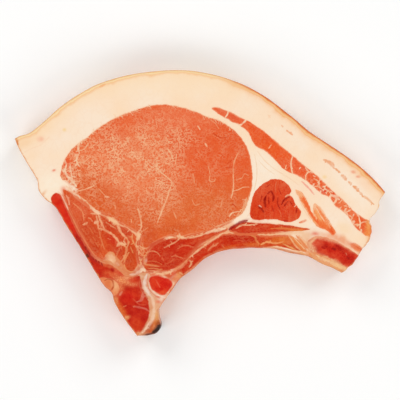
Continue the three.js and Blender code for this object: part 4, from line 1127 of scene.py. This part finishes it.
INNER_STAINS = [
    (-22, -23, 4, 2, 20, "#cb3216", 0.9), (-11, -22.3, 6, 2.4, 20, "#c4240a", 0.9),
    (-15, -26.5, 8, 2, 5, "#c52e14", 0.8), (-5.6, -23, 4, 2, 0, "#cd3014", 0.8),
    (-22, -27.6, 4, 1.8, 0, "#c93416", 0.8), (-16, -31.8, 4, 2, 0, "#c93a1c", 0.8),
    (4, -16.6, 8, 2, 20, "#d84a22", 0.8), (-26, -32, 2, 2, 0, "#d04c1c", 0.8),
    (-24, -31, 4, 0.8, 0, "#dd6a38", 0.7),
]
inner_lean = raw_lean("raw_inner_lean", "#c82e0a", "#be2608", "#e58c5e", flecks=0.2, streak=12,
                      fringe=0.25)
cut_piece("inner_muscle", "lean", INNER_MUSCLE, [inner_lean], stains=INNER_STAINS,
          strokes=feathered(INNER_SEAMS, 2.4, 1.6) + muscle_seams)

# The rib muscles
# Two thin strips between and over the ribs, cut along their fibres: red at the backbone end,
# paler and fattier towards the rib's cut end.
RIB_MUSCLE_UPPER = [
    (15.4, -13.3), (18.5, -11), (22.5, -9.6), (28, -10), (36, -10.4), (43, -11), (50, -12),
    (55.5, -13.2), (51, -14), (44, -14.3), (35, -14.7), (27, -15), (20, -14.9),
]
RIB_MUSCLE_LOWER = [
    (-11.5, -34.6), (-8.5, -32.5), (-5, -28.4), (-2.2, -24.9), (1.2, -21.8), (5.6, -19.2),
    (10.5, -16.7), (14.3, -15.9), (20, -16.2), (28, -16.4), (36, -17), (43, -16.6), (47.5, -17.2),
    (50.5, -19.8), (53.6, -24.2), (50, -24), (44, -22.6), (38, -21.6), (31, -22.8), (24, -26),
    (10, -28), (0, -34), (-8, -40), (-10.6, -37),
]
RIB_MUSCLE_SEAMS = [
    ([(18.4, -12.8), (21, -11.2), (25, -11), (29, -10.4)], 0.7, "#eeb084"),
    ([(4.6, -23.6), (6.2, -22), (8.2, -21), (9.6, -20)], 0.8, "#e2855a"),
    ([(2, -20.8), (3.2, -22.6)], 0.6, "#de7448"), ([(11.4, -21), (12.6, -22.4)], 0.5, "#de7448"),
    ([(25, -16), (28, -17), (28.6, -18.8), (30, -20.4)], 0.9, "#e08048"),
    ([(31, -20.8), (34, -19.6), (38, -20.2), (42, -19.4)], 0.9, "#ee9e62"),
    ([(17, -19), (20, -18.6), (22, -19.2)], 0.6, "#d95c34"),
    ([(-5.3, -28.2), (-3.9, -30), (-5, -32.2)], 0.8, "#e8a475"),
    ([(36, -12.8), (42, -12.6), (47, -13.2)], 0.7, "#e2793c"),
    ([(-11.4, -35.4), (-10.2, -36.6), (-8.8, -37.8)], 1.6, "#e5945e"),
    ([(-9.8, -34.6), (-8, -36)], 0.6, "#e7a06c"),
]
RIB_FIBRES = [
    ([(46, -16.8), (49.4, -20), (53, -24), (57, -26.6)], 1.6, "#e8894a"),
    ([(48.6, -16.4), (51, -18.6), (53.6, -22), (56.6, -24.6)], 1.4, "#e5834a"),
    ([(47.6, -17.4), (50.2, -20.4), (53.4, -23.6)], 0.6, "#f4c596"),
    ([(50.2, -16.4), (52.6, -19.4), (55.4, -22.8)], 0.6, "#f2bf90"),
    ([(44.6, -16), (46.6, -19), (48.8, -22), (52, -24.6)], 0.7, "#f1b884"),
    ([(42, -20.4), (46, -22.4), (50, -24.4), (54, -26.4)], 0.8, "#e9a060"),
    ([(15, -13.2), (17.6, -11.6), (20.4, -9.9), (24, -8.8)], 1.4, "#9c0a02"),
]
RIB_MUSCLE_STAINS = [
    (19, -17.6, 7, 2, 0, "#bb1c04", 0.9), (20, -20.6, 4, 1, 0, "#c42208", 0.7),
    (2, -24.6, 6, 2.4, 40, "#ca2e10", 0.9), (-6.5, -31, 3, 1.8, 40, "#cd3616", 0.9),
    (8, -20.4, 5, 2, 30, "#d5421c", 0.8), (33, -12.4, 10, 2, 0, "#d0380f", 0.8),
    (24, -13, 6, 1.6, 0, "#cf3c1a", 0.8), (41, -18.6, 7, 2.4, 0, "#e2752c", 0.9),
    (50, -20.6, 4, 2, -45, "#e3793c", 0.9), (33, -17.4, 4, 1.4, 0, "#d84a1c", 0.8),
    (47, -19, 5, 3, -20, "#e48246", 0.7), (52, -13.2, 5, 1, -8, "#e0642e", 0.8),
    (27.6, -20.8, 6, 1.2, 0, "#da6020", 0.8), (48, -13.6, 6, 0.8, -5, "#eb8a3c", 0.8),
    (0, -30.4, 6, 1, 40, "#e2661e", 0.8), (-10.2, -36.4, 3, 1.8, -50, "#e18a54", 1.0),
    (14, -22.4, 6, 0.8, 15, "#dd5e20", 0.7),
]
rib_lean = raw_lean("raw_rib_lean", "#cb2e08", "#c22806", "#eb9c68", flecks=0.2, streak=8,
                    fringe=0.25)
for name, outline in (
    ("rib_muscle_upper", RIB_MUSCLE_UPPER), ("rib_muscle_lower", RIB_MUSCLE_LOWER)
):
    cut_piece(name, "lean", outline, [rib_lean], stains=RIB_MUSCLE_STAINS,
              strokes=feathered(RIB_MUSCLE_SEAMS, 2.4, 1.6) + muscle_seams + RIB_FIBRES)

# The fat and rind
# The firm white back fat with the scalded rind on its outside, and every seam of fat between
# the muscles: one piece, as it is in the animal. It fills all that the rest leave.
# Strokes on it: orange lines along its outer edges, the darker ones on the sawn side and the
# rib-cage edge painted shade of the rounded side seen at a slant, skins and threads, then the thin
# layer of lean in it.
FAT_FLECKS_AND_EDGE_SHADE = [
    # These two darker orange lines along the sawn side are painted shade of the rounded side seen
    # at a slant.
    ([(-92.2, 32.2), (-90.2, 27.5), (-86, 19.9), (-80.9, 11), (-80.2, 6.2), (-76.8, 1.8),
     (-72.6, -1.3), (-67, -10.3)], 1.2, "#eba165"),
    ([(-92.2, 32.4), (-91.4, 31), (-90.6, 29)], 2.2, "#da7f3a"),
    ([(93.2, 5.3), (91, 2.2), (89.4, -3.5), (86, -8.2)], 0.9, "#f2bd86"),
    ([(85.8, -16), (84.2, -20), (80.4, -25)], 1.3, "#eca672"),
    # This darker orange line along the rib-cage edge is painted shade of the rounded side.
    ([(71.6, -34.8), (68, -32.9), (62.5, -30.8), (55, -27), (45, -24.8),
     (36, -22.9)], 0.9, "#cf7238"),
    ([(51.4, 10.8), (53.4, 8.8), (55.6, 6.6), (57.4, 4.2)], 0.8, "#f2a48c"),
    ([(50.3, -9.8), (51.6, -9.4), (53.4, -8.6)], 1.2, "#e8794a"),
    ([(54.4, -24.4), (56.4, -26.6), (59, -28.6)], 1.2, "#e68f54"),
    ([(76.2, -20.8), (78, -22), (79.6, -23.2), (80.8, -23.8)], 2.0, "#ea7a42"),
    ([(77, -20.6), (79.4, -21.8), (81, -23)], 1.4, "#ec8348"),
    ([(20.3, -5.8), (22, -3.4), (23.4, -0.6)], 0.5, "#eb9468"),
    ([(-45, -26.2), (-43.4, -27.2), (-42, -28.8)], 1.8, "#ecb084"),
    ([(-47.6, -28.6), (-45.4, -29), (-42.6, -31), (-40, -33)], 0.9, "#dd8a58"),
    ([(-34.6, -35.8), (-32, -35.6), (-29.8, -34.4), (-28.2, -32.8)], 1.3, "#e8b498"),
    ([(-29.4, -34.6), (-28.2, -33), (-27, -34)], 1.6, "#f1c9a6"),
    ([(-22.6, -34.6), (-18, -35.2), (-14.4, -34.6)], 1.5, "#efb484"),
    ([(-22, -36), (-20, -35.9)], 0.7, "#e0502c"),
    ([(-23.8, -35.6), (-21.6, -35.4)], 0.7, "#e0562e"),
    ([(-12.8, -40.2), (-13.4, -41.6), (-14.4, -43)], 0.8, "#f0b98c"),
    ([(-12.6, -38.6), (-10.6, -36.6)], 2.0, "#e88d58"),
    ([(-14, -36), (-12, -34.6)], 1.6, "#de5a30"),
    ([(-10.2, -38.4), (-12, -41), (-15, -45)], 1.2, "#dd6a30"),
    ([(-87, 25.6), (-83.4, 27.4), (-80, 28.6), (-77, 31), (-75, 33)], 0.5, "#f6d3b2"),
    ([(-70.4, 5.6), (-69.2, 4.4), (-67.4, 1), (-65.4, -3.4)], 0.7, "#f3b79c"),
    ([(-65.4, -3.4), (-62.8, -8.6), (-60.4, -13.4), (-57.8, -17.8), (-54.6, -23),
     (-51, -27.6)], 0.7, "#e27f4c"),
    ([(76.4, -20.6), (78.6, -21.8), (81.4, -23.4)], 1.9, "#dc5824"),
    ([(27.8, 24), (28.8, 18), (28.7, 12), (27.4, 6)], 0.45, "#f0ceac"),
    ([(29.4, 25.6), (33, 21), (38.6, 16.4), (44.6, 12.8), (49.6, 9.2)], 0.45, "#f3ceac"),
    ([(30, 21), (33.4, 17.4), (37.6, 14.4)], 0.4, "#f2d0ae"),
    ([(27.6, 2), (26.4, -3), (24.4, -6.4)], 0.4, "#efc6a0"),
    ([(57, -4.6), (57.8, -1), (60.4, -2), (63.4, -6)], 0.5, "#f6c8a2"),
    ([(49.6, 2), (52.6, -3.6), (56, -9)], 0.5, "#f6cba6"),
]
LEAN_FLECKS = [
    ([(62.4, 21.6), (64.6, 20.6), (66.4, 19.4), (67.4, 17.4)], 1.6, "#eca272"),
    ([(68.2, 17.2), (69.4, 16.2), (70.5, 15.3)], 1.0, "#eca474"),
    ([(71.2, 13.9), (72.4, 13), (73.6, 11.6)], 1.3, "#eca474"),
    ([(74.8, 10.7), (76.2, 9.4)], 1.1, "#eca87a"),
    ([(77.2, 8.3), (78.4, 7.5), (79.8, 5.8)], 1.5, "#eca06e"),
    ([(80.3, 5.4), (81.5, 4.4)], 1.1, "#eca87a"),
    ([(81.7, 3.4), (84, 2.4), (85.6, 0.8), (87.2, -0.6)], 1.4, "#eda672"),
    ([(41.2, 38.8), (41.9, 38.1)], 0.8, "#f0ac80"), ([(43.9, 36.2), (46.6, 34.2)], 0.9, "#efa678"),
    ([(34.6, 43.8), (35.6, 42.8)], 0.9, "#f6cfac"), ([(-49.6, 58), (-47, 59.4)], 1.2, "#f2b078"),
]
FAT_STAINS = [
    (-62, -12, 16, 1.8, -61, "#cf4a26", 0.95), (-54, -24, 6, 1.8, -50, "#cb4420", 0.95),
    (-38, -32.4, 4, 1.8, -48, "#d66c38", 1.0), (-34, -35.2, 3, 1.3, -12, "#e09870", 1.0),
    (-43.6, -27.8, 7, 3.4, -40, "#e69c68", 1.0), (-39.4, -31.8, 4.6, 2.4, -45, "#dc7e48", 1.0),
    (-32, -34, 4, 3, 0, "#e2a47e", 0.9), (-46.6, -29.8, 4, 1, -24, "#df8450", 1.0),
    (-41.6, -32.6, 4, 1.1, -38, "#e08c58", 1.0), (52.6, -19.4, 5, 3.4, -60, "#eaa066", 0.9),
    (-28.8, -24.4, 3.4, 7.6, 0, "#cf4c22", 1.0), (-27.8, -31.2, 3, 2, 0, "#dc7c4a", 0.9),
    (-28.6, -27.6, 3, 5, 0, "#cb4c20", 1.0), (-23.4, -20.6, 4.6, 1.6, 38, "#d0502a", 1.0),
    (-7.4, -29, 5.6, 1.8, 46, "#d0501f", 1.0), (-1.4, -22.7, 5, 1.4, 43, "#d2562a", 1.0),
    (5.5, -18.4, 4, 1, 32, "#e08a58", 0.8), (-47.4, -6.4, 2.8, 0.9, -30, "#d96232", 0.9),
    (-37.2, -12.2, 3.2, 0.9, -30, "#d65c2e", 0.9), (-18, -34.8, 8, 1.4, -3, "#e8a274", 0.8),
    (-14, -36.6, 5, 1.8, -25, "#e07c48", 0.7), (-74, 9, 8, 6, 30, "#f9e8d0", 0.9),
    (-67.8, 6.6, 1.6, 1.8, 0, "#ee8e6c", 0.8), (-63.6, 7.2, 1.2, 0.8, 0, "#f0a48a", 0.7),
    (-57.6, 0.6, 4.4, 1, -38, "#dd6636", 0.9), (-51.6, -4, 3, 1.4, -50, "#f4c6a0", 0.9),
    (-43.2, -8.8, 3, 1.3, -30, "#f0c092", 0.9), (-30.4, -16.2, 1.1, 1.6, 0, "#efba8a", 0.8),
    (77.2, 15.5, 1.3, 0.8, -10, "#ea7a58", 1.0), (79.7, 13.2, 1.3, 0.7, 0, "#ea7a58", 1.0),
    (62.8, 13, 1.2, 1, 0, "#f7d29a", 0.9), (-67.3, 36.6, 0.9, 0.8, 0, "#f3cc84", 0.9),
    (-72.6, 16.3, 1, 0.6, 20, "#e8714e", 1.0), (-79.5, 32, 2, 1.4, 0, "#f3ab8a", 0.8),
    (-88, 30, 5, 2.4, 20, "#f3c596", 0.7), (83, 9, 4, 2.6, -45, "#f8d4b6", 0.7),
    (72.5, -12.5, 4, 3, -30, "#f7d6ae", 0.7), (72, -17.4, 2, 1.6, -60, "#f2ae7c", 0.8),
    (19.6, -10.7, 5, 0.9, 27, "#ac1408", 1.0), (66, -16.8, 6, 1.4, -14, "#efa880", 0.8),
    (71.4, -18.8, 8, 1.9, -34, "#eda47c", 0.95), (79, -22.5, 3.6, 1.1, -28, "#e2662e", 1.0),
    (57, -16.5, 5, 3, 0, "#ebb592", 0.8), (58, -15.4, 1.8, 0.9, 0, "#e2553a", 0.8),
    (52, -16, 4, 2.4, -20, "#f0c59e", 0.8), (46, -14.8, 6, 1, 0, "#f0c096", 0.8),
    (36, -21.6, 9, 0.9, -3, "#f0be8a", 0.9), (48, -22.6, 6, 0.9, -16, "#f0b886", 0.9),
    (43, -23.6, 7, 0.55, -12, "#cf6a30", 0.9), (53, -26, 5, 0.9, -14, "#e08c4c", 0.9),
    (56.8, -24.6, 4.4, 1.7, -20, "#ecb484", 0.95), (-18.5, -48, 3, 2, 40, "#f0c8b0", 0.8),
    (-19, -51, 2, 2, 40, "#edb184", 0.8), (-36.5, -37, 6, 2.4, -10, "#eaa06a", 0.8),
    (-78.4, 4, 3, 0.8, 50, "#ecab78", 0.8), (85.5, -18, 2, 3, 0, "#f2b780", 0.8),
    (80, -24.6, 3, 1.2, -50, "#f0a878", 0.8), (70.5, -33.4, 2, 0.6, -60, "#e07a4c", 0.6),
    (49, 8, 2.6, 2, 0, "#f9dcc0", 0.6), (33, 18, 10, 5.4, -50, "#f8e7d2", 0.8),
    (28.6, 7, 3, 11, 0, "#f8e7d2", 0.7), (77, 6.5, 13, 4, -42, "#f8e7d2", 0.6),
    (78.6, -22, 3.6, 1.2, -30, "#de5c26", 1.0), (-10, 60, 60, 8, 0, "#f9dcb6", 0.5),
    (-12, -37, 3, 3, 0, "#e88f5a", 0.8), (-48, -27.5, 2.8, 1.7, -30, "#d45c2e", 1.0),
    (-41.4, -30, 6, 3, -42, "#d87643", 0.8), (-43.7, -28.5, 2.2, 1.3, -40, "#f0ba8c", 1.0),
    (-36, -34.8, 3.2, 1.8, -24, "#da7c48", 1.0), (-29.6, -35.2, 4, 2.3, 0, "#cd6238", 1.0),
    (-25.6, -35, 2.2, 1.3, 0, "#d97c54", 0.9), (-16, -34.6, 4.2, 2, -5, "#d25424", 1.0),
    (-12.9, -37.2, 3.4, 2.3, -20, "#d04c1e", 1.0),
]
# Where its seams take up the colour of the lean, and the bands of the rind on the backbone and
# the belly side as (depth in mm, colour, strength), which end RIND_SHOWN mm deep.
TINGED = [
    (-45, -12, 34, 14, -35, 1.0), (-15, -27, 32, 9, 15, 1.0), (-62, -12, 22, 6, -60, 1.0),
    (-5, -15.5, 30, 5, 8, 1.0), (27, -16, 30, 4.5, -2, 1.0),
]
RIND_LEFT = [
    (0.0, "#e2a05c", 0.9), (0.4, "#efba78", 0.9), (0.8, "#f8d8a2", 0.9), (1.1, "#f7d29a", 0.85),
    (1.4, "#f2ba7e", 0.8), (1.8, "#f4c08a", 0.7), (2.8, "#f8d6ac", 0.5), (9.0, "#f8dcba", 0.0),
]
RIND_RIGHT = [
    (0.0, "#d4622a", 1.0), (0.7, "#e0782e", 1.0), (1.1, "#efae68", 0.95), (1.6, "#f2be82", 0.9),
    (2.0, "#f0ac6a", 0.9), (2.5, "#f3ba86", 0.65), (4.4, "#f7cfa8", 0.3), (9.0, "#f8dcba", 0.0),
]
RIND_SHOWN = 10.0


def back_fat(name):
    """Firm raw back fat, knifed: creamy white and waxy, with the faint cells that skins part
    it into, oranger where it is a thin seam, and layered bands where it turns into rind."""
    material, tree, shader, where = started(name)
    tone = patches(tree, where, 22, 3.0, span(0.38, 0.64))
    colour = add(tree, "Mix", {0: tone, 6: linear("#f9dab8"), 7: linear("#f8e1c8")}, **COLOURS)
    cell = {"Vector": wandering(tree, where, 5, 4.0), "Scale": 1 / 4.2}
    cell = add(tree, "TexVoronoi", cell, feature="DISTANCE_TO_EDGE")
    skin = add(tree, "MapRange", {"Value": cell, **span(0.0, 0.08, 0.3, 0.0)})
    colour = add(tree, "Mix", {0: skin, 6: colour, 7: linear("#f7d6b6")}, **COLOURS)

    # Thin seams between lean take up its colour.
    fine = add(tree, "TexNoise", {"Vector": where, "Scale": 1 / 1.4, "Detail": 3.0})
    squeeze = add(tree, "Attribute", attribute_name="squeeze", out="Fac")
    zone = add(tree, "Attribute", attribute_name="zone", out="Fac")
    squeeze = add(tree, "Math", {0: squeeze, 1: zone}, operation="MULTIPLY")
    colour = add(tree, "Mix", {0: squeeze, 6: colour, 7: linear("#edaa7a")}, **COLOURS)
    seam = add(tree, "Attribute", attribute_name="seam", out="Fac")
    near = add(tree, "Math", {0: fine, 1: 0.9, 2: seam}, operation="MULTIPLY_ADD")
    near = add(tree, "MapRange", {"Value": near, **span(0.35, 1.0, 0.45, 0.0)})
    colour = add(tree, "Mix", {0: near, 6: colour, 7: linear("#f3bb92")}, **COLOURS)
    bled = add(tree, "Math", {0: fine, 1: -0.9, 2: seam}, operation="MULTIPLY_ADD")
    bled = add(tree, "MapRange", {"Value": bled, **span(0.14, 0.32, 0.95, 0.0)})
    bled = add(tree, "Math", {0: bled, 1: squeeze}, operation="MULTIPLY")
    colour = add(tree, "Mix", {0: bled, 6: colour, 7: linear("#d95e2c")}, **COLOURS)
    colour = stained(tree, where, colour)

    # The bands of the rind, by depth from the outside, paler on the backbone side.
    depth = add(tree, "Attribute", attribute_name="rind_depth", out="Fac")
    uneven = patches(tree, where, 5, 3.0, span(0.3, 0.7, -0.8, 0.8))
    share = add(tree, "MapRange", {"Value": depth, **span(0.0, 2.5)})
    depth = add(tree, "Math", {0: uneven, 1: share, 2: depth}, operation="MULTIPLY_ADD")
    place = add(tree, "Math", {0: depth, 1: 1 / RIND_SHOWN}, operation="MULTIPLY")
    across = add(tree, "SeparateXYZ", {"Vector": where}, out="X")
    rightward = add(tree, "MapRange", {"Value": across, **span(6.0, 28.0)})
    bands = []
    for stops in (RIND_LEFT, RIND_RIGHT):
        band = add(tree, "ValToRGB", {"Fac": place})
        ramp = band.node.color_ramp
        while len(ramp.elements) < len(stops):
            ramp.elements.new(1.0)
        for element, (at, code, strength) in zip(ramp.elements, stops):
            element.position = at / RIND_SHOWN
            element.color = (*linear(code)[:3], strength)
        bands += [band, band.node.outputs["Alpha"]]
    tint = add(tree, "Mix", {0: rightward, 6: bands[0], 7: bands[2]}, **COLOURS)
    strength = add(tree, "Mix", {0: rightward, 2: bands[1], 3: bands[3]}, out=0)
    colour = add(tree, "Mix", {0: strength, 6: colour, 7: tint}, **COLOURS)
    colour = lined(tree, where, colour)
    colour, _ = marked(tree, where, colour)
    height = add(tree, "Math", {0: skin, 1: -1.2, 2: fine}, operation="MULTIPLY_ADD")
    gloss = {"Roughness": 0.48, "Specular IOR Level": 0.35}
    surfaced(tree, shader, colour, height, 0.35, 0.2, gloss)
    return material


def scalded_rind(name):
    """Pig skin, scalded and scraped clean: tan, faintly glossy, with a fine net of creases
    about 1.5 mm apart and hair pits a few millimetres apart."""
    material, tree, shader, where = started(name)
    where = in_the_round(tree, where)
    tone = patches(tree, where, 12, 4.0, span(0.35, 0.65))
    colour = add(tree, "Mix", {0: tone, 6: linear("#f7d8b0"), 7: linear("#f0c096")}, **COLOURS)
    crease = {"Vector": where, "Scale": 1 / 1.5}
    crease = add(tree, "TexVoronoi", crease, feature="DISTANCE_TO_EDGE")
    line = add(tree, "MapRange", {"Value": crease, **span(0.0, 0.12, 0.3, 0.0)})
    colour = add(tree, "Mix", {0: line, 6: colour, 7: linear("#e0a068")}, **COLOURS)
    pit = {"Vector": where, "Scale": 1 / 3.6, "Randomness": 0.8}
    pit = add(tree, "TexVoronoi", pit, feature="F1")
    pit = add(tree, "MapRange", {"Value": pit, **span(0.06, 0.13, 1.0, 0.0)})
    flush = patches(tree, where, 26, 3.0, span(0.5, 0.68, 0.0, 0.55))
    colour = add(tree, "Mix", {0: flush, 6: colour, 7: linear("#eba07c")}, **COLOURS)
    shade = add(tree, "Math", {0: pit, 1: 0.6}, operation="MULTIPLY")
    colour = add(tree, "Mix", {0: shade, 6: colour, 7: linear("#c07a40")}, **COLOURS)
    height = add(tree, "Math", {0: pit, 1: -1.0, 2: crease}, operation="MULTIPLY_ADD")
    gloss = {"Roughness": 0.5, "Specular IOR Level": 0.3}
    surfaced(tree, shader, colour, height, 0.6, 0.3, gloss)
    return material


fat_and_skin = [back_fat("firm_back_fat"), scalded_rind("scalded_rind")]
fat_strokes = RIB_FIBRES + FAT_FLECKS_AND_EDGE_SHADE + muscle_seams + feathered(LEAN_FLECKS, 1.5, 0.9)
fat_strokes += feathered(EYE_FRAY, 1.1, 1.6)
cut_piece("fat_and_rind", "fat", None, fat_and_skin, spacing=0.62, stains=FAT_STAINS,
          zones=TINGED, strokes=fat_strokes)

# The floor, the light and the camera
# A white card under the chop, four soft boxes round it and a white room, and a camera straight
# above, whose picture takes in 200 mm of the drawn chop and is centred a little off its middle.
LAMPS, LAMP_SIZE, LAMP_POWER, LAMP_OUT, LAMP_UP = 4, 0.5, 2.35, 0.7, 0.6
ROOM_LIGHT = 0.36
LENS, SENSOR = 135, 36
PICTURE_WIDTH, PICTURE_X, PICTURE_Y = 200, 0.05, 1.5
floor_mesh = bpy.data.meshes.new("floor")
floor_mesh.from_pydata([(-2, -2, 0), (2, -2, 0), (2, 2, 0), (-2, 2, 0)], [], [(0, 1, 2, 3)])
floor = bpy.data.objects.new("floor", floor_mesh)
bpy.context.scene.collection.objects.link(floor)
card = bpy.data.materials.new("white_card")
card.use_nodes = True
card_shader = card.node_tree.nodes["Principled BSDF"]
card_shader.inputs["Base Color"].default_value = linear("#fbfbfa")
card_shader.inputs["Roughness"].default_value = 0.9
floor_mesh.materials.append(card)

world = bpy.data.worlds.new("studio")
world.use_nodes = True
world.node_tree.nodes["Background"].inputs["Color"].default_value = (1, 1, 1, 1)
world.node_tree.nodes["Background"].inputs["Strength"].default_value = ROOM_LIGHT
bpy.context.scene.world = world
for i in range(LAMPS):
    turn = math.radians(45 + 90 * i)
    lamp = bpy.data.lights.new(f"soft_box_{i}", "AREA")
    lamp.shape = "SQUARE"
    lamp.size = LAMP_SIZE
    lamp.energy = LAMP_POWER
    holder = bpy.data.objects.new(f"soft_box_{i}", lamp)
    holder.location = (LAMP_OUT * math.cos(turn), LAMP_OUT * math.sin(turn), LAMP_UP)
    holder.rotation_euler = Vector(holder.location).to_track_quat("Z", "Y").to_euler()
    bpy.context.scene.collection.objects.link(holder)

lens = bpy.data.cameras.new("camera")
lens.lens = LENS
lens.sensor_width = SENSOR
camera = bpy.data.objects.new("camera", lens)
height = THICKNESS + PICTURE_WIDTH * DRAWN_TO_MM / SENSOR * LENS
camera.location = (PICTURE_X / 1000, PICTURE_Y / 1000, height / 1000)
bpy.context.scene.collection.objects.link(camera)
bpy.context.scene.camera = camera
bpy.context.scene.view_settings.view_transform = "Standard"
